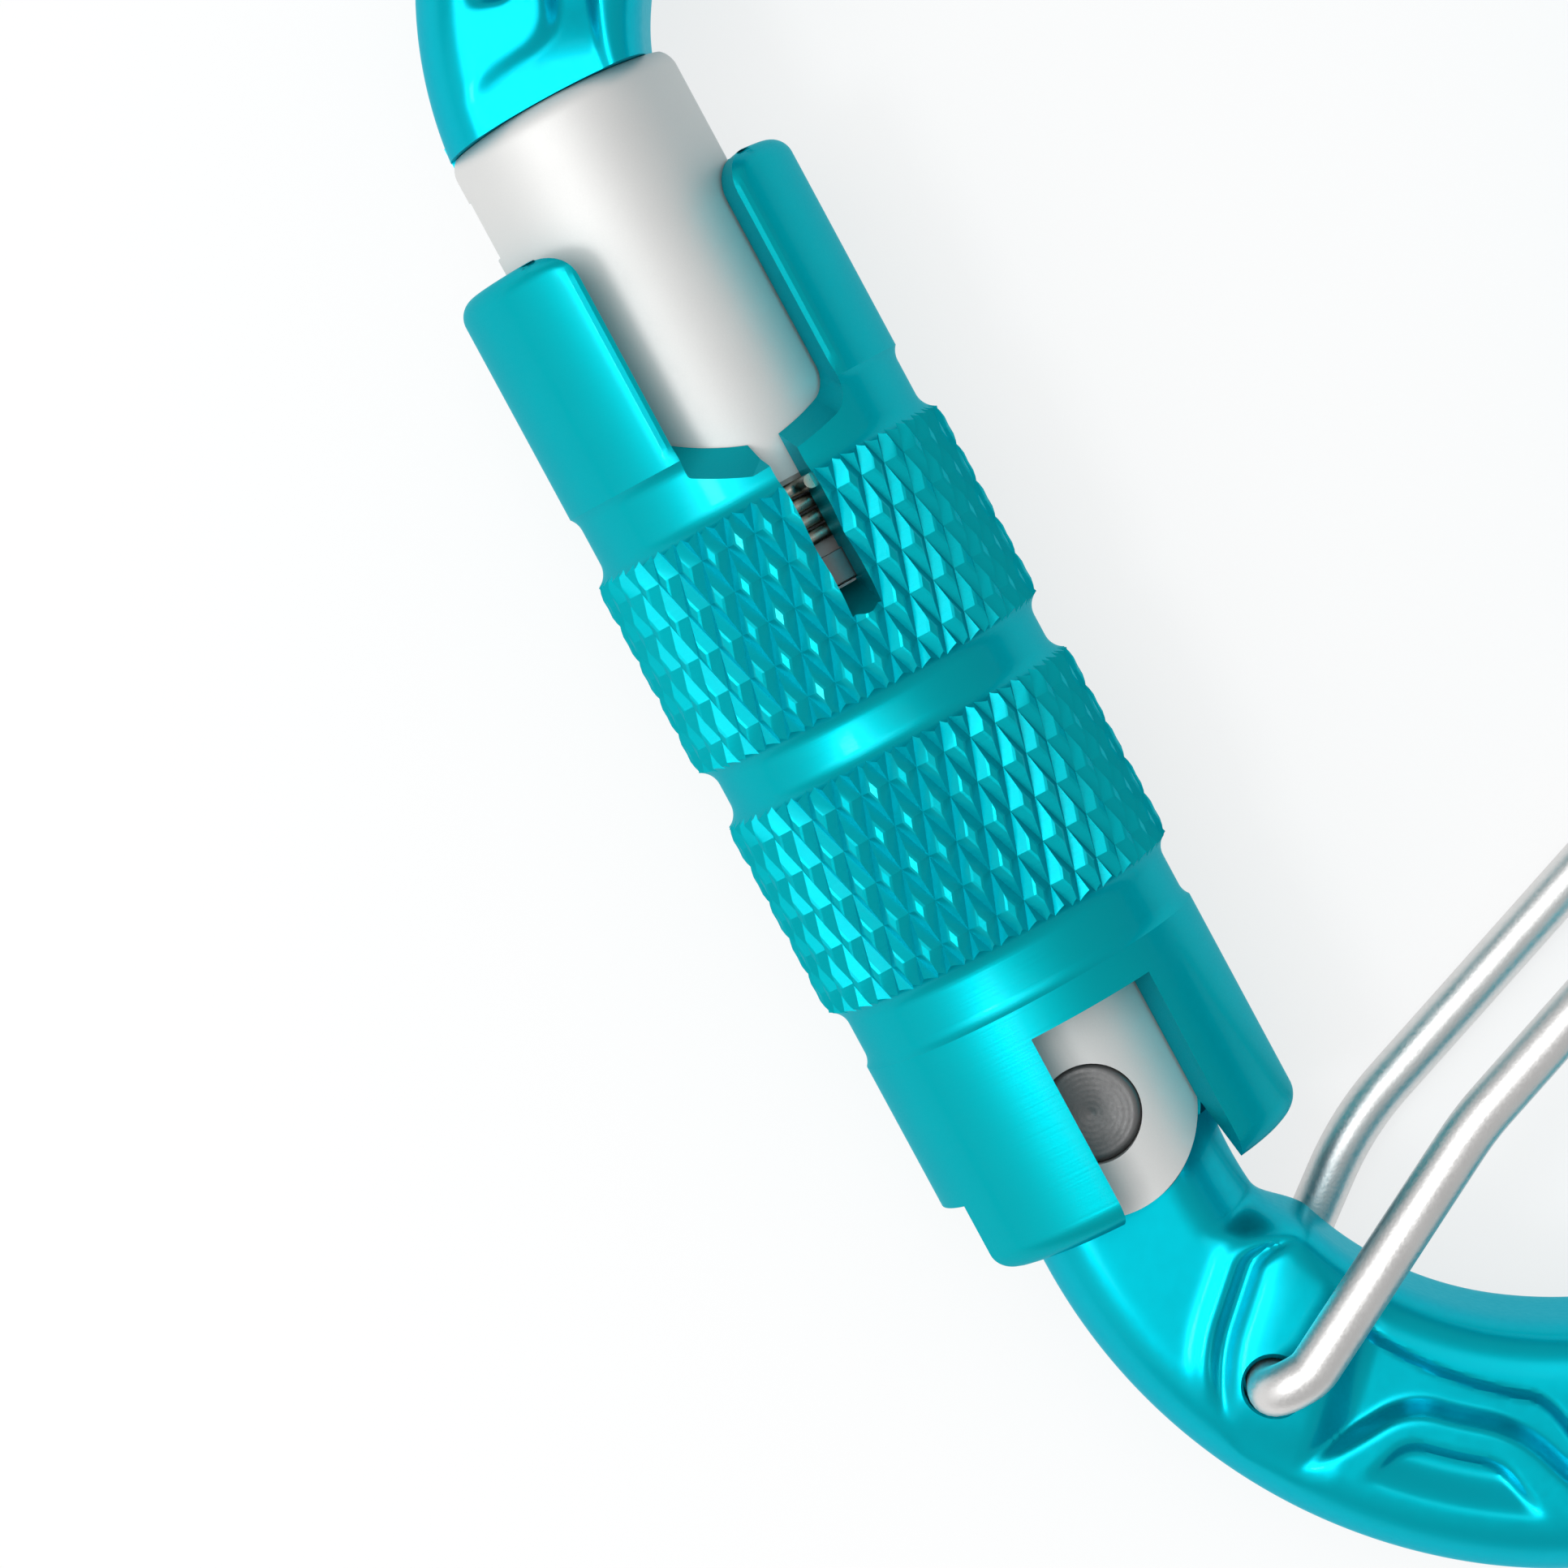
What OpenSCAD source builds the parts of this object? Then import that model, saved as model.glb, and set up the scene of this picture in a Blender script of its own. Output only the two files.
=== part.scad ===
// Auto-locking pear carabiner with a knurled sleeve and a wire bail at the narrow end.
// It lies flat: the ring is in the XY plane, the gate runs along +Y and +Z is the thickness.

/* [Body] */
// Width of the bar in the plane of the ring
bar_w = 9.3; // [8.6:0.1:10]
// Thickness of the bar
bar_t = 10; // [9.4:0.1:10.4]
// Corner radius of the bar's section
bar_round = 2.6; // [2:0.1:2.8]
// Distance of the bar's middle from the gate axis, at the hinge and at the nose
bar_shift = -0.2; // [-0.4:0.1:0]
// Outer radius of the narrow bend
low_r = 23.5; // [22:0.1:26]
// Distance of the narrow bend's centre below the rivet
low_drop = 4.55; // [4.1:0.05:5.1]
// Lean of the spine away from the gate
lean = 18; // [12:1:22]
// Length of the straight spine
spine_len = 57; // [52:1:64]
// Outer radius of the corner between spine and crown
corner_r = 16.5; // [14:0.5:20]
// Outer radius of the crown
crown_r = 46; // [42:1:60]
// Outer radius of the corner over the nose
nose_r = 17.5; // [16:0.5:20]
// Depth of the grooves in the spine
spine_groove = 2.4; // [1.5:0.1:3]
// Width of the grooves in the spine
groove_w = 3.8; // [3:0.1:4]
// Depth of the relief in the narrow bend and the crown
relief = 1.2; // [0.6:0.1:1.6]

/* [Gate] */
// Diameter of the gate
gate_d = 10; // [9.6:0.1:10.4]
// Distance from the rivet to the top of the gate
gate_top = 45.25; // [44.5:0.05:49]
// Length of the head above the spring
head_len = 17.6; // [17:0.1:18.5]
// Depth of the waist inside the spring
waist_cut = 0.95; // [0.95:0.05:1.2]
// Length of the waist
waist_len = 4.5; // [4.3:0.1:4.8]
// Depth of the nose inside the gate
nose_depth = 3.7; // [3:0.1:3.8]
// Thickness of the nose
nose_t = 2.2; // [1.8:0.1:3]

/* [Hinge] */
// Diameter of the rivet
rivet_d = 4; // [3:0.1:4.4]
// Radius of the ears about the rivet
ear_r = 4.25; // [4:0.05:4.4]
// Thickness over the flats of the ears
ear_t = 9.2; // [8.8:0.1:9.4]
// Thickness of the body's hinge tab
tab_t = 4; // [3.4:0.1:4.4]
// Radius of the hinge tab
tab_r = 4.5; // [4.2:0.1:4.6]
// Height of the flat heel that the plunger presses on
heel_top = 3.5; // [3.2:0.1:3.7]
// Diameter of the plunger
plunger_d = 3; // [2.6:0.1:3.2]
// Distance of the plunger from the gate axis
plunger_off = 2; // [1.8:0.1:2.2]

/* [Sleeve] */
// Diameter over the knurled bands
knurl_d = 15.6; // [15.2:0.1:16.4]
// Length of a knurled band
knurl_len = 8.3; // [7:0.1:8.6]
// Diameter of the necks between the bands
neck_d = 14.4; // [13.8:0.1:14.6]
// Diameter over the prongs
prong_d = 14.85; // [14.7:0.05:15.2]
// Diameter of the skirt
skirt_d = 14.8; // [14.7:0.05:15.2]
// Top of the prongs above the rivet
prong_top = 40.1; // [38.5:0.05:40.15]
// Bottom of the skirt below the rivet
skirt_drop = 4.25; // [3.7:0.05:4.35]
// Width of the cut between the prongs
fork_w = 7.1; // [6:0.1:8]
// Width of the spring slot
slot_w = 1.3; // [1:0.1:1.6]
// Width of the window over the rivet
window_w = 5.5; // [5:0.1:6]
// Lift of the sleeve
lift = 1.2; // [0.8:0.1:1.3]
// Turn of the sleeve
twist = 75; // [45:1:80]

/* [Springs] */
// Wire of the sleeve spring
coil_wire = 0.56; // [0.4:0.02:0.6]
// Turns of the sleeve spring
coil_turns = 2.5; // [1.5:0.25:2.5]
// Wire of the gate spring
push_wire = 0.5; // [0.4:0.05:0.6]
// Turns of the gate spring
push_turns = 8; // [5:1:9]

/* [Bail] */
// Wire of the bail
bail_wire = 2.05; // [1.8:0.05:2.2]
// Pivot of the bail, in from the gate axis
bail_u = 1.2; // [0.8:0.1:1.6]
// Pivot of the bail, below the rivet
bail_drop = 13.05; // [12.5:0.05:13.6]
// Distance of the legs from the middle of the bar
leg_z = 6.45; // [6.4:0.05:6.8]

/* [Hidden] */
$fn = 72;

body_colour = [0, 0.75, 0.79];
gate_colour = [0.88, 0.88, 0.87];
steel_colour = [0.55, 0.55, 0.54];
wire_colour = [0.72, 0.71, 0.69];

// Running fits and clearances
fit = 0.05;
rivet_fit = 0.02;
play = 0.1;
clear = 0.3;
over = 1;

// Plan of the ring: centres of the arcs, all measured from the rivet
mid_low = low_r - bar_w / 2;
low_c = [mid_low + bar_shift, -low_drop];
spine_n = [cos(lean), -sin(lean)];
spine_s = [sin(lean), cos(lean)];
corner_c = low_c + (low_r - corner_r) * spine_n + spine_len * spine_s;
nose_below = 1.7;
nose_c = [nose_r - bar_w / 2 + bar_shift, gate_top - nose_below];
span = norm(corner_c - nose_c);
span_dir = (corner_c - nose_c) / span;
nose_reach = crown_r - nose_r;
corner_reach = crown_r - corner_r;
along = (nose_reach * nose_reach - corner_reach * corner_reach + span * span) / (2 * span);
below = sqrt(nose_reach * nose_reach - along * along);
crown_c = nose_c + along * span_dir + below * [span_dir.y, -span_dir.x];
function direction(v) = atan2(v.y, v.x);
crown_from = direction(corner_c - crown_c);
crown_to = direction(nose_c - crown_c);

// The part's origin is under the middle of its box
low_x = -knurl_d / 2;
high_x = corner_c.x + corner_r;
low_y = low_c.y - low_r;
high_y = crown_c.y + crown_r;
shift = [-(low_x + high_x) / 2, -(low_y + high_y) / 2, knurl_d / 2];

// Heights along the gate axis
shoulder = gate_top - head_len;
waist_d = gate_d - 2 * waist_cut;
waist_low = shoulder - waist_len;
ring_h = 1.2;
ring_low = waist_low + play;
ring_top = ring_low + ring_h;
bore_r = gate_d / 2 + play;
ring_r = bore_r + 0.35;
window_top = 4.05;
notch_top = -1.05;
notch_w = 7.8;
fork_turn = 14.2;
window_turn = 17.9;
fork_floor = 29.05;
slot_floor = 22.15;
knurl_low = 8.15;
knurl_high = 19.15;
neck_top = 30.45;
skirt_top = 5.35;
guide_v = 13.35;
guide_d = 1.5;
guide_seat = 2.6;
guide_reach = 0.85;

// Hinge
fork_z = tab_t / 2 + 0.2;
fork_root = tab_r + 0.6;
neck_r = 4.4;
neck_off = -0.45;
neck_low = -7.45;
shoulder_r = ear_r + play;
shoulder_v = -2.3;
flare_r = 6.6;
flare_top = -1.55;
plunger_end = 9;
push_end = 18;

// Arc of points from one angle to another, for profiles
function arc(c, r, from, to, steps = 8) =
    [for (i = [0:steps]) let (a = from + (to - from) * i / steps) c + r * [cos(a), sin(a)]];

// Sweeps a round tube along a path
function unit(v) = v / norm(v);
function tangents(p) =
    [for (i = [0:len(p) - 1]) unit(p[min(i + 1, len(p) - 1)] - p[max(i - 1, 0)])];
function square_to(n, t) = unit(n - (n * t) * t);
function first_normal(t) = square_to(abs(t.x) < 0.7 ? [1, 0, 0] : [0, 1, 0], t);
function normals(t) =
    [for (i = 0, n = first_normal(t[0]); i < len(t);
          i = i + 1, n = i < len(t) ? square_to(n, t[i]) : n) n];
// Skin over rings of points, closed at both ends
module skin(rings) {
    count = len(rings);
    sides = len(rings[0]);
    function at(i, k) = i * sides + k % sides;
    walls = [for (i = [0:count - 2], k = [0:sides - 1]) each
        [[at(i, k), at(i + 1, k), at(i + 1, k + 1)], [at(i, k), at(i + 1, k + 1), at(i, k + 1)]]];
    start = [for (k = [0:sides - 1]) k];
    end = [for (k = [sides - 1:-1:0]) at(count - 1, k)];
    polyhedron([for (ring = rings) each ring], concat(walls, [start, end]), convexity = 10);
}
module tube(path, r, sides) {
    t = tangents(path);
    n = normals(t);
    skin([for (i = [0:len(path) - 1]) [for (k = [0:sides - 1])
        path[i] + r * (cos(360 * k / sides) * n[i] + sin(360 * k / sides) * cross(t[i], n[i]))]]);
}

// A coil about the Z axis, with straight ends of its own
curl_rings = 8;
function coil(r, low, high, turns, from) =
    [for (i = [0:turns * curl_rings]) let (f = i / (turns * curl_rings), a = from + 360 * turns * f)
        [r * cos(a), r * sin(a), low + (high - low) * f]];
function least_gap(p, wire) =
    min([for (i = [0:len(p) - 1], j = [i + curl_rings - 2:1:len(p) - 1]) norm(p[i] - p[j])]) - wire;

// Rounds the corners of a polyline with short curves
function rounded(p, reach, steps) =
    concat([p[0]],
        [for (i = [1:len(p) - 2])
            let (a = p[i] + reach[i] * unit(p[i - 1] - p[i]), b = p[i] + reach[i] * unit(p[i + 1] - p[i]))
            for (k = [0:steps]) let (f = k / steps)
                (1 - f) * (1 - f) * a + 2 * f * (1 - f) * p[i] + f * f * b],
        [p[len(p) - 1]]);

// Puts a shape that is built about Z on the gate axis; its front is at -Y before
module on_gate_axis() rotate([-90, 0, 0]) children();
// Turns a cut on the sleeve from the front towards the inside of the ring
module at_turn(turn) rotate(turn) children();

// Section of the bar: its front face from the inside of the ring to the outside, with a groove
corner_steps = 3;
groove_slope = 0.8;
function round_corner(side) =
    [for (i = [0:corner_steps]) let (a = 90 * (side < 0 ? i : corner_steps - i) / corner_steps)
        [side * (bar_w / 2 - bar_round + bar_round * cos(a)), bar_t / 2 - bar_round + bar_round * sin(a)]];
function front_face(middle, half, depth) =
    concat(round_corner(-1),
        [[middle - half, bar_t / 2], [middle - half + groove_slope, bar_t / 2 - depth],
         [middle + half - groove_slope, bar_t / 2 - depth], [middle + half, bar_t / 2]],
        round_corner(1));
function bar_section(middle, half, depth) =
    let (front = front_face(middle, half, depth))
    concat(front, [for (i = [len(front) - 1:-1:0]) [front[i].x, -front[i].y]]);

// A station holds a place on the bar's middle, its outward direction and the groove there
function ring_at(station) =
    [for (p = bar_section(station[2], station[3], station[4]))
        let (flat = station[0] + p.x * station[1]) [flat.x, flat.y, p.y]];
function steps(from, to, count) = [for (i = [0:count - 1]) from + (to - from) * i / count];
function ramp(x, from, to, blend) = max(0, min(1, (x - from) / blend, (to - x) / blend));
// Places along a stretch: even steps, with extra ones where a groove starts and ends
function places(from, to, start, end, blend, outside, inside) =
    concat(steps(from, start, outside), [start], steps(start + blend, end - blend, inside),
           [end - blend], steps(end, to, outside));
function bend(centre, outer, angles, groove_from, groove_to, blend, middle, half, depth) =
    [for (a = angles) let (out = [cos(a), sin(a)])
        [centre + (outer - bar_w / 2) * out, out, middle, half, depth * ramp(a, groove_from, groove_to, blend)]];

bar_start = 180 + asin((-neck_low - low_drop) / mid_low);
boss_turn = direction([bail_u, -bail_drop] - low_c) + 360;
boss_half = 8.2;
pocket_from = boss_turn + 2.6 * boss_half;
pocket_to = 322;
pocket_mid = -0.4;
pocket_half = 1.5;
turn_blend = 4;
low_angles = places(bar_start, 360 - lean, pocket_from, pocket_to, turn_blend, 5, 11);
crown_inset = 6;
crown_groove = [crown_from + crown_inset, crown_to - crown_inset];
crown_angles = places(crown_from, crown_to, crown_groove[0], crown_groove[1], turn_blend, 1, 8);
spine_inset = 3;
spine_blend = 2;
spine_places = places(0, spine_len, spine_inset, spine_len - spine_inset, spine_blend, 1, 1);
spine_foot = low_c + mid_low * spine_n;
stations = concat(
    bend(low_c, low_r, low_angles, pocket_from, pocket_to, turn_blend, pocket_mid, pocket_half, relief),
    [for (y = spine_places) [spine_foot + y * spine_s, spine_n, 0, groove_w / 2,
        spine_groove * ramp(y, spine_inset, spine_len - spine_inset, spine_blend)]],
    bend(corner_c, corner_r, steps(-lean, crown_from, 11), 0, 0, 1, 0, groove_w / 2, 0),
    bend(crown_c, crown_r, crown_angles, crown_groove[0], crown_groove[1], turn_blend, 0, groove_w / 2, relief),
    bend(nose_c, nose_r, concat(steps(crown_to, 180, 8), [180]), 0, 0, 1, 0, groove_w / 2, 0));
module bar() skin([for (station = stations) ring_at(station)]);

module both_faces() {
    children();
    mirror([0, 0, 1]) children();
}

// Grooves beside the bail's boss, across the narrow bend
boss_groove = 1.1;
module boss_grooves()
    translate(low_c) for (side = [-1, 1]) rotate(boss_turn + side * boss_half)
        translate([mid_low, 0, bar_t / 2 + boss_groove / 2]) rotate([0, 90, 0])
            cylinder(h = bar_w + over, r = boss_groove, center = true);

// Sweep of the gate's top about the rivet, which the nose stays above
gate_edge = 1;
top_sweep = norm([gate_d / 2 - gate_edge, gate_top - gate_edge]) + gate_edge + play;
key_t = nose_t + 1;
key_h = 1.6;
nose_tip = gate_top - nose_depth;
nose_out = -gate_d / 2 + 0.4;
nose_in = gate_d / 2 - 1.8;
module nose() {
    root = gate_top + over;
    difference() {
        union() {
            translate([nose_out, nose_tip, -nose_t / 2])
                cube([nose_in - nose_out, root - nose_tip, nose_t]);
            translate([nose_out, nose_tip, -key_t / 2]) cube([nose_in - nose_out, key_h, key_t]);
        }
        // The tip's corners are rounded off
        for (z = [-1, 1]) translate([nose_out - over, nose_tip, z * key_t / 2]) rotate([45, 0, 0])
            cube([gate_d, 0.6, 0.6], center = false);
    }
}

// The nose stays above what the gate's top sweeps
module nose_underside()
    intersection() {
        cylinder(h = 2 * bar_t, r = top_sweep, center = true);
        translate([-2 * gate_d, gate_top - gate_d, -bar_t]) cube([4 * gate_d, 2 * gate_d, 2 * bar_t]);
    }

// The tab is a little narrower than the round neck is at the tab's faces
tab_half = sqrt(neck_r * neck_r - tab_t * tab_t / 4) - play;
module hinge_tab()
    intersection() {
        union() {
            cylinder(h = tab_t, r = tab_r, center = true);
            translate([neck_off - tab_half, neck_low, -tab_t / 2]) cube([2 * tab_half, -neck_low, tab_t]);
        }
        translate([-2 * tab_r, heel_top - 4 * tab_r, -tab_t]) cube([4 * tab_r, 4 * tab_r, 2 * tab_t]);
    }

bail_bore = bail_wire + 2 * fit;
pin_deep = 2.2;
bail_mouth = 0.35;
module bail_holes()
    both_faces() translate([bail_u, -bail_drop, 0]) {
        translate([0, 0, bar_t / 2 - pin_deep]) cylinder(h = pin_deep + over, d = bail_bore);
        translate([0, 0, bar_t / 2 - bail_mouth])
            cylinder(h = bail_mouth + over, d1 = bail_bore, d2 = bail_bore + 2 * (bail_mouth + over));
    }

// Round neck under the hinge, on which the sleeve's skirt turns
module neck()
    difference() {
        on_gate_axis() translate([neck_off, 0, neck_low - 0.2])
            cylinder(h = shoulder_v - neck_low + 0.2, r = neck_r);
        cylinder(h = 2 * bar_t, r = shoulder_r, center = true);
    }

module frame_body()
    color(body_colour)
        difference() {
            union() {
                difference() {
                    bar();
                    nose_underside();
                }
                neck();
                hinge_tab();
                nose();
            }
            cylinder(h = 2 * bar_t, d = rivet_d + 2 * rivet_fit, center = true);
            both_faces() boss_grooves();
            bail_holes();
        }

// Pocket in the top of the gate, open to the outer side, that takes the nose
pocket_gap = 0.3;
pocket_side = 0.2;
pocket_floor = nose_tip - 2 * pocket_gap;
module nose_pocket() {
    length = gate_d;
    from = nose_in + 2 * pocket_gap - length;
    neck_gap = nose_t + 2 * pocket_side;
    key_gap = key_t + 2 * pocket_side;
    translate([from, -neck_gap / 2, pocket_floor]) cube([length, neck_gap, gate_top]);
    translate([from, -key_gap / 2, pocket_floor])
        cube([length, key_gap, key_h + 2 * pocket_gap + pocket_gap]);
}

push_bore = plunger_d + 2 * play;
module gate_bar()
    rotate_extrude() polygon(concat(
        [[0, -ear_r], [gate_d / 2, -ear_r], [gate_d / 2, waist_low], [waist_d / 2, waist_low],
         [waist_d / 2, shoulder], [gate_d / 2, shoulder]],
        arc([gate_d / 2 - gate_edge, gate_top - gate_edge], gate_edge, 0, 90),
        [[0, gate_top]]));

ear_side = ear_r - 0.15;
ear_shoulder = 2.5;
flat_top = 5.75;
module gate()
    color(gate_colour)
        on_gate_axis() difference() {
            gate_bar();
            // The ears are round about the rivet and stay narrower up to a shoulder
            difference() {
                translate([-gate_d, -gate_d, -gate_d]) cube([2 * gate_d, 2 * gate_d, gate_d + ear_shoulder]);
                rotate([90, 0, 0]) cylinder(h = 4 * gate_d, r = ear_r, center = true);
                translate([-ear_side, -2 * gate_d, 0]) cube([2 * ear_side, 4 * gate_d, gate_d]);
            }
            // Flats of the ears and the fork between them
            for (side = [-1, 1])
                translate([-gate_d, side > 0 ? ear_t / 2 : -ear_t / 2 - gate_d, -gate_d])
                    cube([2 * gate_d, gate_d, gate_d + flat_top]);
            translate([-gate_d, -fork_z, -gate_d]) cube([2 * gate_d, 2 * fork_z, gate_d + fork_root]);
            rotate([90, 0, 0]) cylinder(h = 2 * gate_d, d = rivet_d + 2 * fit, center = true);
            translate([plunger_off, 0, fork_root - over])
                cylinder(h = push_end - fork_root + over, d = push_bore);
            translate([0, 0, guide_v]) rotate([0, -90, 0]) translate([0, 0, guide_seat])
                cylinder(h = gate_d, d = guide_d + 2 * rivet_fit);
            nose_pocket();
        }

// The rivet is domed a little at both ends
rivet_half = ear_t / 2 + play;
rivet_dome = 0.35;
module hinge_rivet()
    color(steel_colour)
        rotate_extrude() polygon([[0, -rivet_half], [rivet_d / 2 - rivet_dome, -rivet_half],
            [rivet_d / 2, -rivet_half + rivet_dome], [rivet_d / 2, rivet_half - rivet_dome],
            [rivet_d / 2 - rivet_dome, rivet_half], [0, rivet_half]]);

module guide_pin()
    color(steel_colour)
        on_gate_axis() translate([0, 0, guide_v]) rotate([0, -90, 0]) translate([0, 0, guide_seat])
            cylinder(h = gate_d / 2 + guide_reach - guide_seat, d = guide_d);

module gate_plunger()
    color(steel_colour)
        on_gate_axis() translate([plunger_off, 0, 0]) {
            tip = heel_top + fit + plunger_d / 2;
            translate([0, 0, tip]) cylinder(h = plunger_end - tip, d = plunger_d);
            translate([0, 0, tip]) sphere(d = plunger_d);
        }

push_r = push_bore / 2 - play - push_wire / 2;
push_path = coil(push_r, plunger_end + push_wire / 2 + fit, push_end - push_wire / 2 - fit, push_turns, 0);
module gate_spring()
    color(steel_colour)
        on_gate_axis() translate([plunger_off, 0, 0]) tube(push_path, push_wire / 2, 6);

split = 24;
module spring_seat_ring()
    color(steel_colour)
        on_gate_axis() rotate(90 + split / 2) rotate_extrude(angle = 360 - split)
            translate([waist_d / 2 + play, ring_low]) square([ring_r - waist_d / 2 - play, ring_h]);

// The spring runs close inside the bore, and its top end turns outwards into the sleeve's slot
coil_r = bore_r - coil_wire / 2 - fit;
tang = 1.4;
coil_end = fork_turn - 90;
coil_low = ring_top + coil_wire / 2 + fit;
coil_high = shoulder - coil_wire / 2 - fit;
coil_turn = coil(coil_r, coil_low, coil_high, coil_turns, coil_end - 360 * coil_turns);
coil_path = concat(coil_turn, [(coil_r + tang) * [cos(coil_end), sin(coil_end), 0] + [0, 0, coil_high]]);
module sleeve_spring() color(steel_colour) on_gate_axis() tube(coil_path, coil_wire / 2, 6);
echo(sleeve_spring_gap = least_gap(coil_turn, coil_wire), gate_spring_gap = least_gap(push_path, push_wire));

// Outer profile of the sleeve, from the skirt up to the prongs
fillet = 1;
lip = 1;
module sleeve_profile()
    polygon(concat(
        [[bore_r, flare_top], [flare_r, -skirt_drop]],
        arc([skirt_d / 2 - lip, -skirt_drop + lip], lip, -60, 0, 4),
        [[skirt_d / 2, skirt_top], [neck_d / 2, skirt_top + fillet]],
        band(knurl_low), band(knurl_high),
        [[neck_d / 2, neck_top - fillet], [prong_d / 2, neck_top]],
        arc([prong_d / 2 - lip, prong_top - lip], lip, 0, 90, 6),
        [[bore_r, prong_top], [bore_r, ring_top + fit], [ring_r + play, ring_top + fit],
         [ring_r + play, ring_low - fit], [bore_r, ring_low - fit]]));
function band(low) =
    [[neck_d / 2, low - 0.4], [knurl_d / 2 - 0.3, low], [knurl_d / 2, low + 0.3],
     [knurl_d / 2, low + knurl_len - 0.3], [knurl_d / 2 - 0.3, low + knurl_len],
     [neck_d / 2, low + knurl_len + 0.4]];

// Cut through one wall at the front; the circles round the prongs' corners and stop short of their tops
mouth = 1.5;
mouth_rise = 0.25;
module fork_cut() {
    mouth_v = prong_top - mouth + mouth_rise;
    rotate([90, 0, 0]) linear_extrude(knurl_d) difference() {
        translate([-fork_w / 2 - mouth, fork_floor]) square([fork_w + 2 * mouth, prong_top]);
        for (side = [-1, 1]) translate([side * (fork_w / 2 + mouth), 0]) {
            translate([0, mouth_v]) circle(mouth);
            translate([-mouth, 0]) square([2 * mouth, mouth_v]);
        }
    }
    translate([-slot_w / 2, -knurl_d, slot_floor]) cube([slot_w, knurl_d, prong_top]);
}
module window_cut()
    translate([-window_w / 2, -knurl_d, -knurl_d]) cube([window_w, knurl_d, knurl_d + window_top]);

guide_room = 0.25;
guide_half = asin((guide_d / 2 + guide_room) / bore_r);
guide_inner = bore_r - over;
module guide_pocket()
    rotate(180 - twist - guide_half) rotate_extrude(angle = twist + 2 * guide_half)
        translate([guide_inner, guide_v - guide_d / 2 - lift - guide_room])
            square([gate_d / 2 + guide_reach + guide_room - guide_inner, guide_d + lift + 2 * guide_room]);

module lock_sleeve()
    color(body_colour)
        on_gate_axis() difference() {
            rotate_extrude() sleeve_profile();
            guide_pocket();
            for (back = [0, 180]) {
                at_turn(fork_turn + back) fork_cut();
                at_turn(window_turn + back) window_cut();
            }
            // Notch at the outer side of the skirt
            at_turn(-90) translate([-notch_w / 2, -knurl_d, -knurl_d])
                cube([notch_w, knurl_d, knurl_d + notch_top]);
        }

// Route of the bail's wire, from the front hole round to the back one
tip_gap = clear;
tip_v = -0.15;
tip_step = 2.2;
inner_line = spine_n * low_c + low_r - bar_w;
tip_line = inner_line - bail_wire / 2 - tip_gap;
tip_front = [(tip_line + spine_s.x * tip_v) / spine_n.x, tip_v];
tip_back = tip_front + tip_step * spine_s;
front_bend = [13.2, -7.15];
back_bend = [8.7, -6.95];
pivot = [bail_u, -bail_drop];
pin_end = bar_t / 2 - pin_deep + play;
function lifted(p, z) = [p.x, p.y, z];
pin_top = leg_z - 1.6;
bail_points = [lifted(pivot, pin_top - clear), lifted(pivot, leg_z), lifted(front_bend, leg_z),
    lifted(tip_front, leg_z), lifted(tip_back, -leg_z), lifted(back_bend, -leg_z),
    lifted(pivot, -leg_z), lifted(pivot, clear - pin_top)];
bail_reach = [0, leg_z - pin_top, 4, 3, 3, 4, leg_z - pin_top, 0];
module wire_bail()
    color(wire_colour) {
        tube(rounded(bail_points, bail_reach, 6), bail_wire / 2 - rivet_fit, 12);
        both_faces() translate(lifted(pivot, pin_end)) cylinder(h = pin_top - pin_end, d = bail_wire);
    }

module placed() translate(shift) children();
placed() frame_body();
placed() gate();
placed() hinge_rivet();
placed() lock_sleeve();
placed() sleeve_spring();
placed() spring_seat_ring();
placed() guide_pin();
placed() gate_plunger();
placed() gate_spring();
placed() wire_bail();
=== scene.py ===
import bpy
import bmesh
import math
from mathutils import Matrix, Vector


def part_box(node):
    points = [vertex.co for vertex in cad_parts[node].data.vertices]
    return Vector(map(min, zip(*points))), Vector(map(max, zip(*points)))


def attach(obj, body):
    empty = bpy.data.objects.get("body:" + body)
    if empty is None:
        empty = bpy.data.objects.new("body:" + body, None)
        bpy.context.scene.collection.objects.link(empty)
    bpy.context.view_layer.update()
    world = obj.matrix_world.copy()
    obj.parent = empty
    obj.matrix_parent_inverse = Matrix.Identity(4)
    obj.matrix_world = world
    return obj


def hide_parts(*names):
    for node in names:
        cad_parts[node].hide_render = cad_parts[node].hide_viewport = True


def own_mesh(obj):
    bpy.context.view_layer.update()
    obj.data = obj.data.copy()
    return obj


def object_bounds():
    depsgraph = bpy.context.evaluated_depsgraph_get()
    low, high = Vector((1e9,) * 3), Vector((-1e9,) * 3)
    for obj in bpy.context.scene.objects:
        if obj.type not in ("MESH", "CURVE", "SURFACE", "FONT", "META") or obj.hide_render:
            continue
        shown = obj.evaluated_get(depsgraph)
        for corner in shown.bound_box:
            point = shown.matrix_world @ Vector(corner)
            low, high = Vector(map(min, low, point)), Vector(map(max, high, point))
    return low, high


# Every shape is made in millimetres from a point on the gate axis just below the rivet:
# u to the spine, v to the nose, z to the front.
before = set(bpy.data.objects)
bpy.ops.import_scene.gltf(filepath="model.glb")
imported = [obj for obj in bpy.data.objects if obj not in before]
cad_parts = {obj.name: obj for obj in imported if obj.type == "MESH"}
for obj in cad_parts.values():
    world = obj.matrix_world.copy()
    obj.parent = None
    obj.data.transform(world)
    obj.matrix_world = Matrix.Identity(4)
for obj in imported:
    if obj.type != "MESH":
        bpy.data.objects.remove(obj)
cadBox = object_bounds()
mm = 0.001
rivetLow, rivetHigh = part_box("hinge_rivet")
hinge = (rivetLow + rivetHigh) / 2
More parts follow.
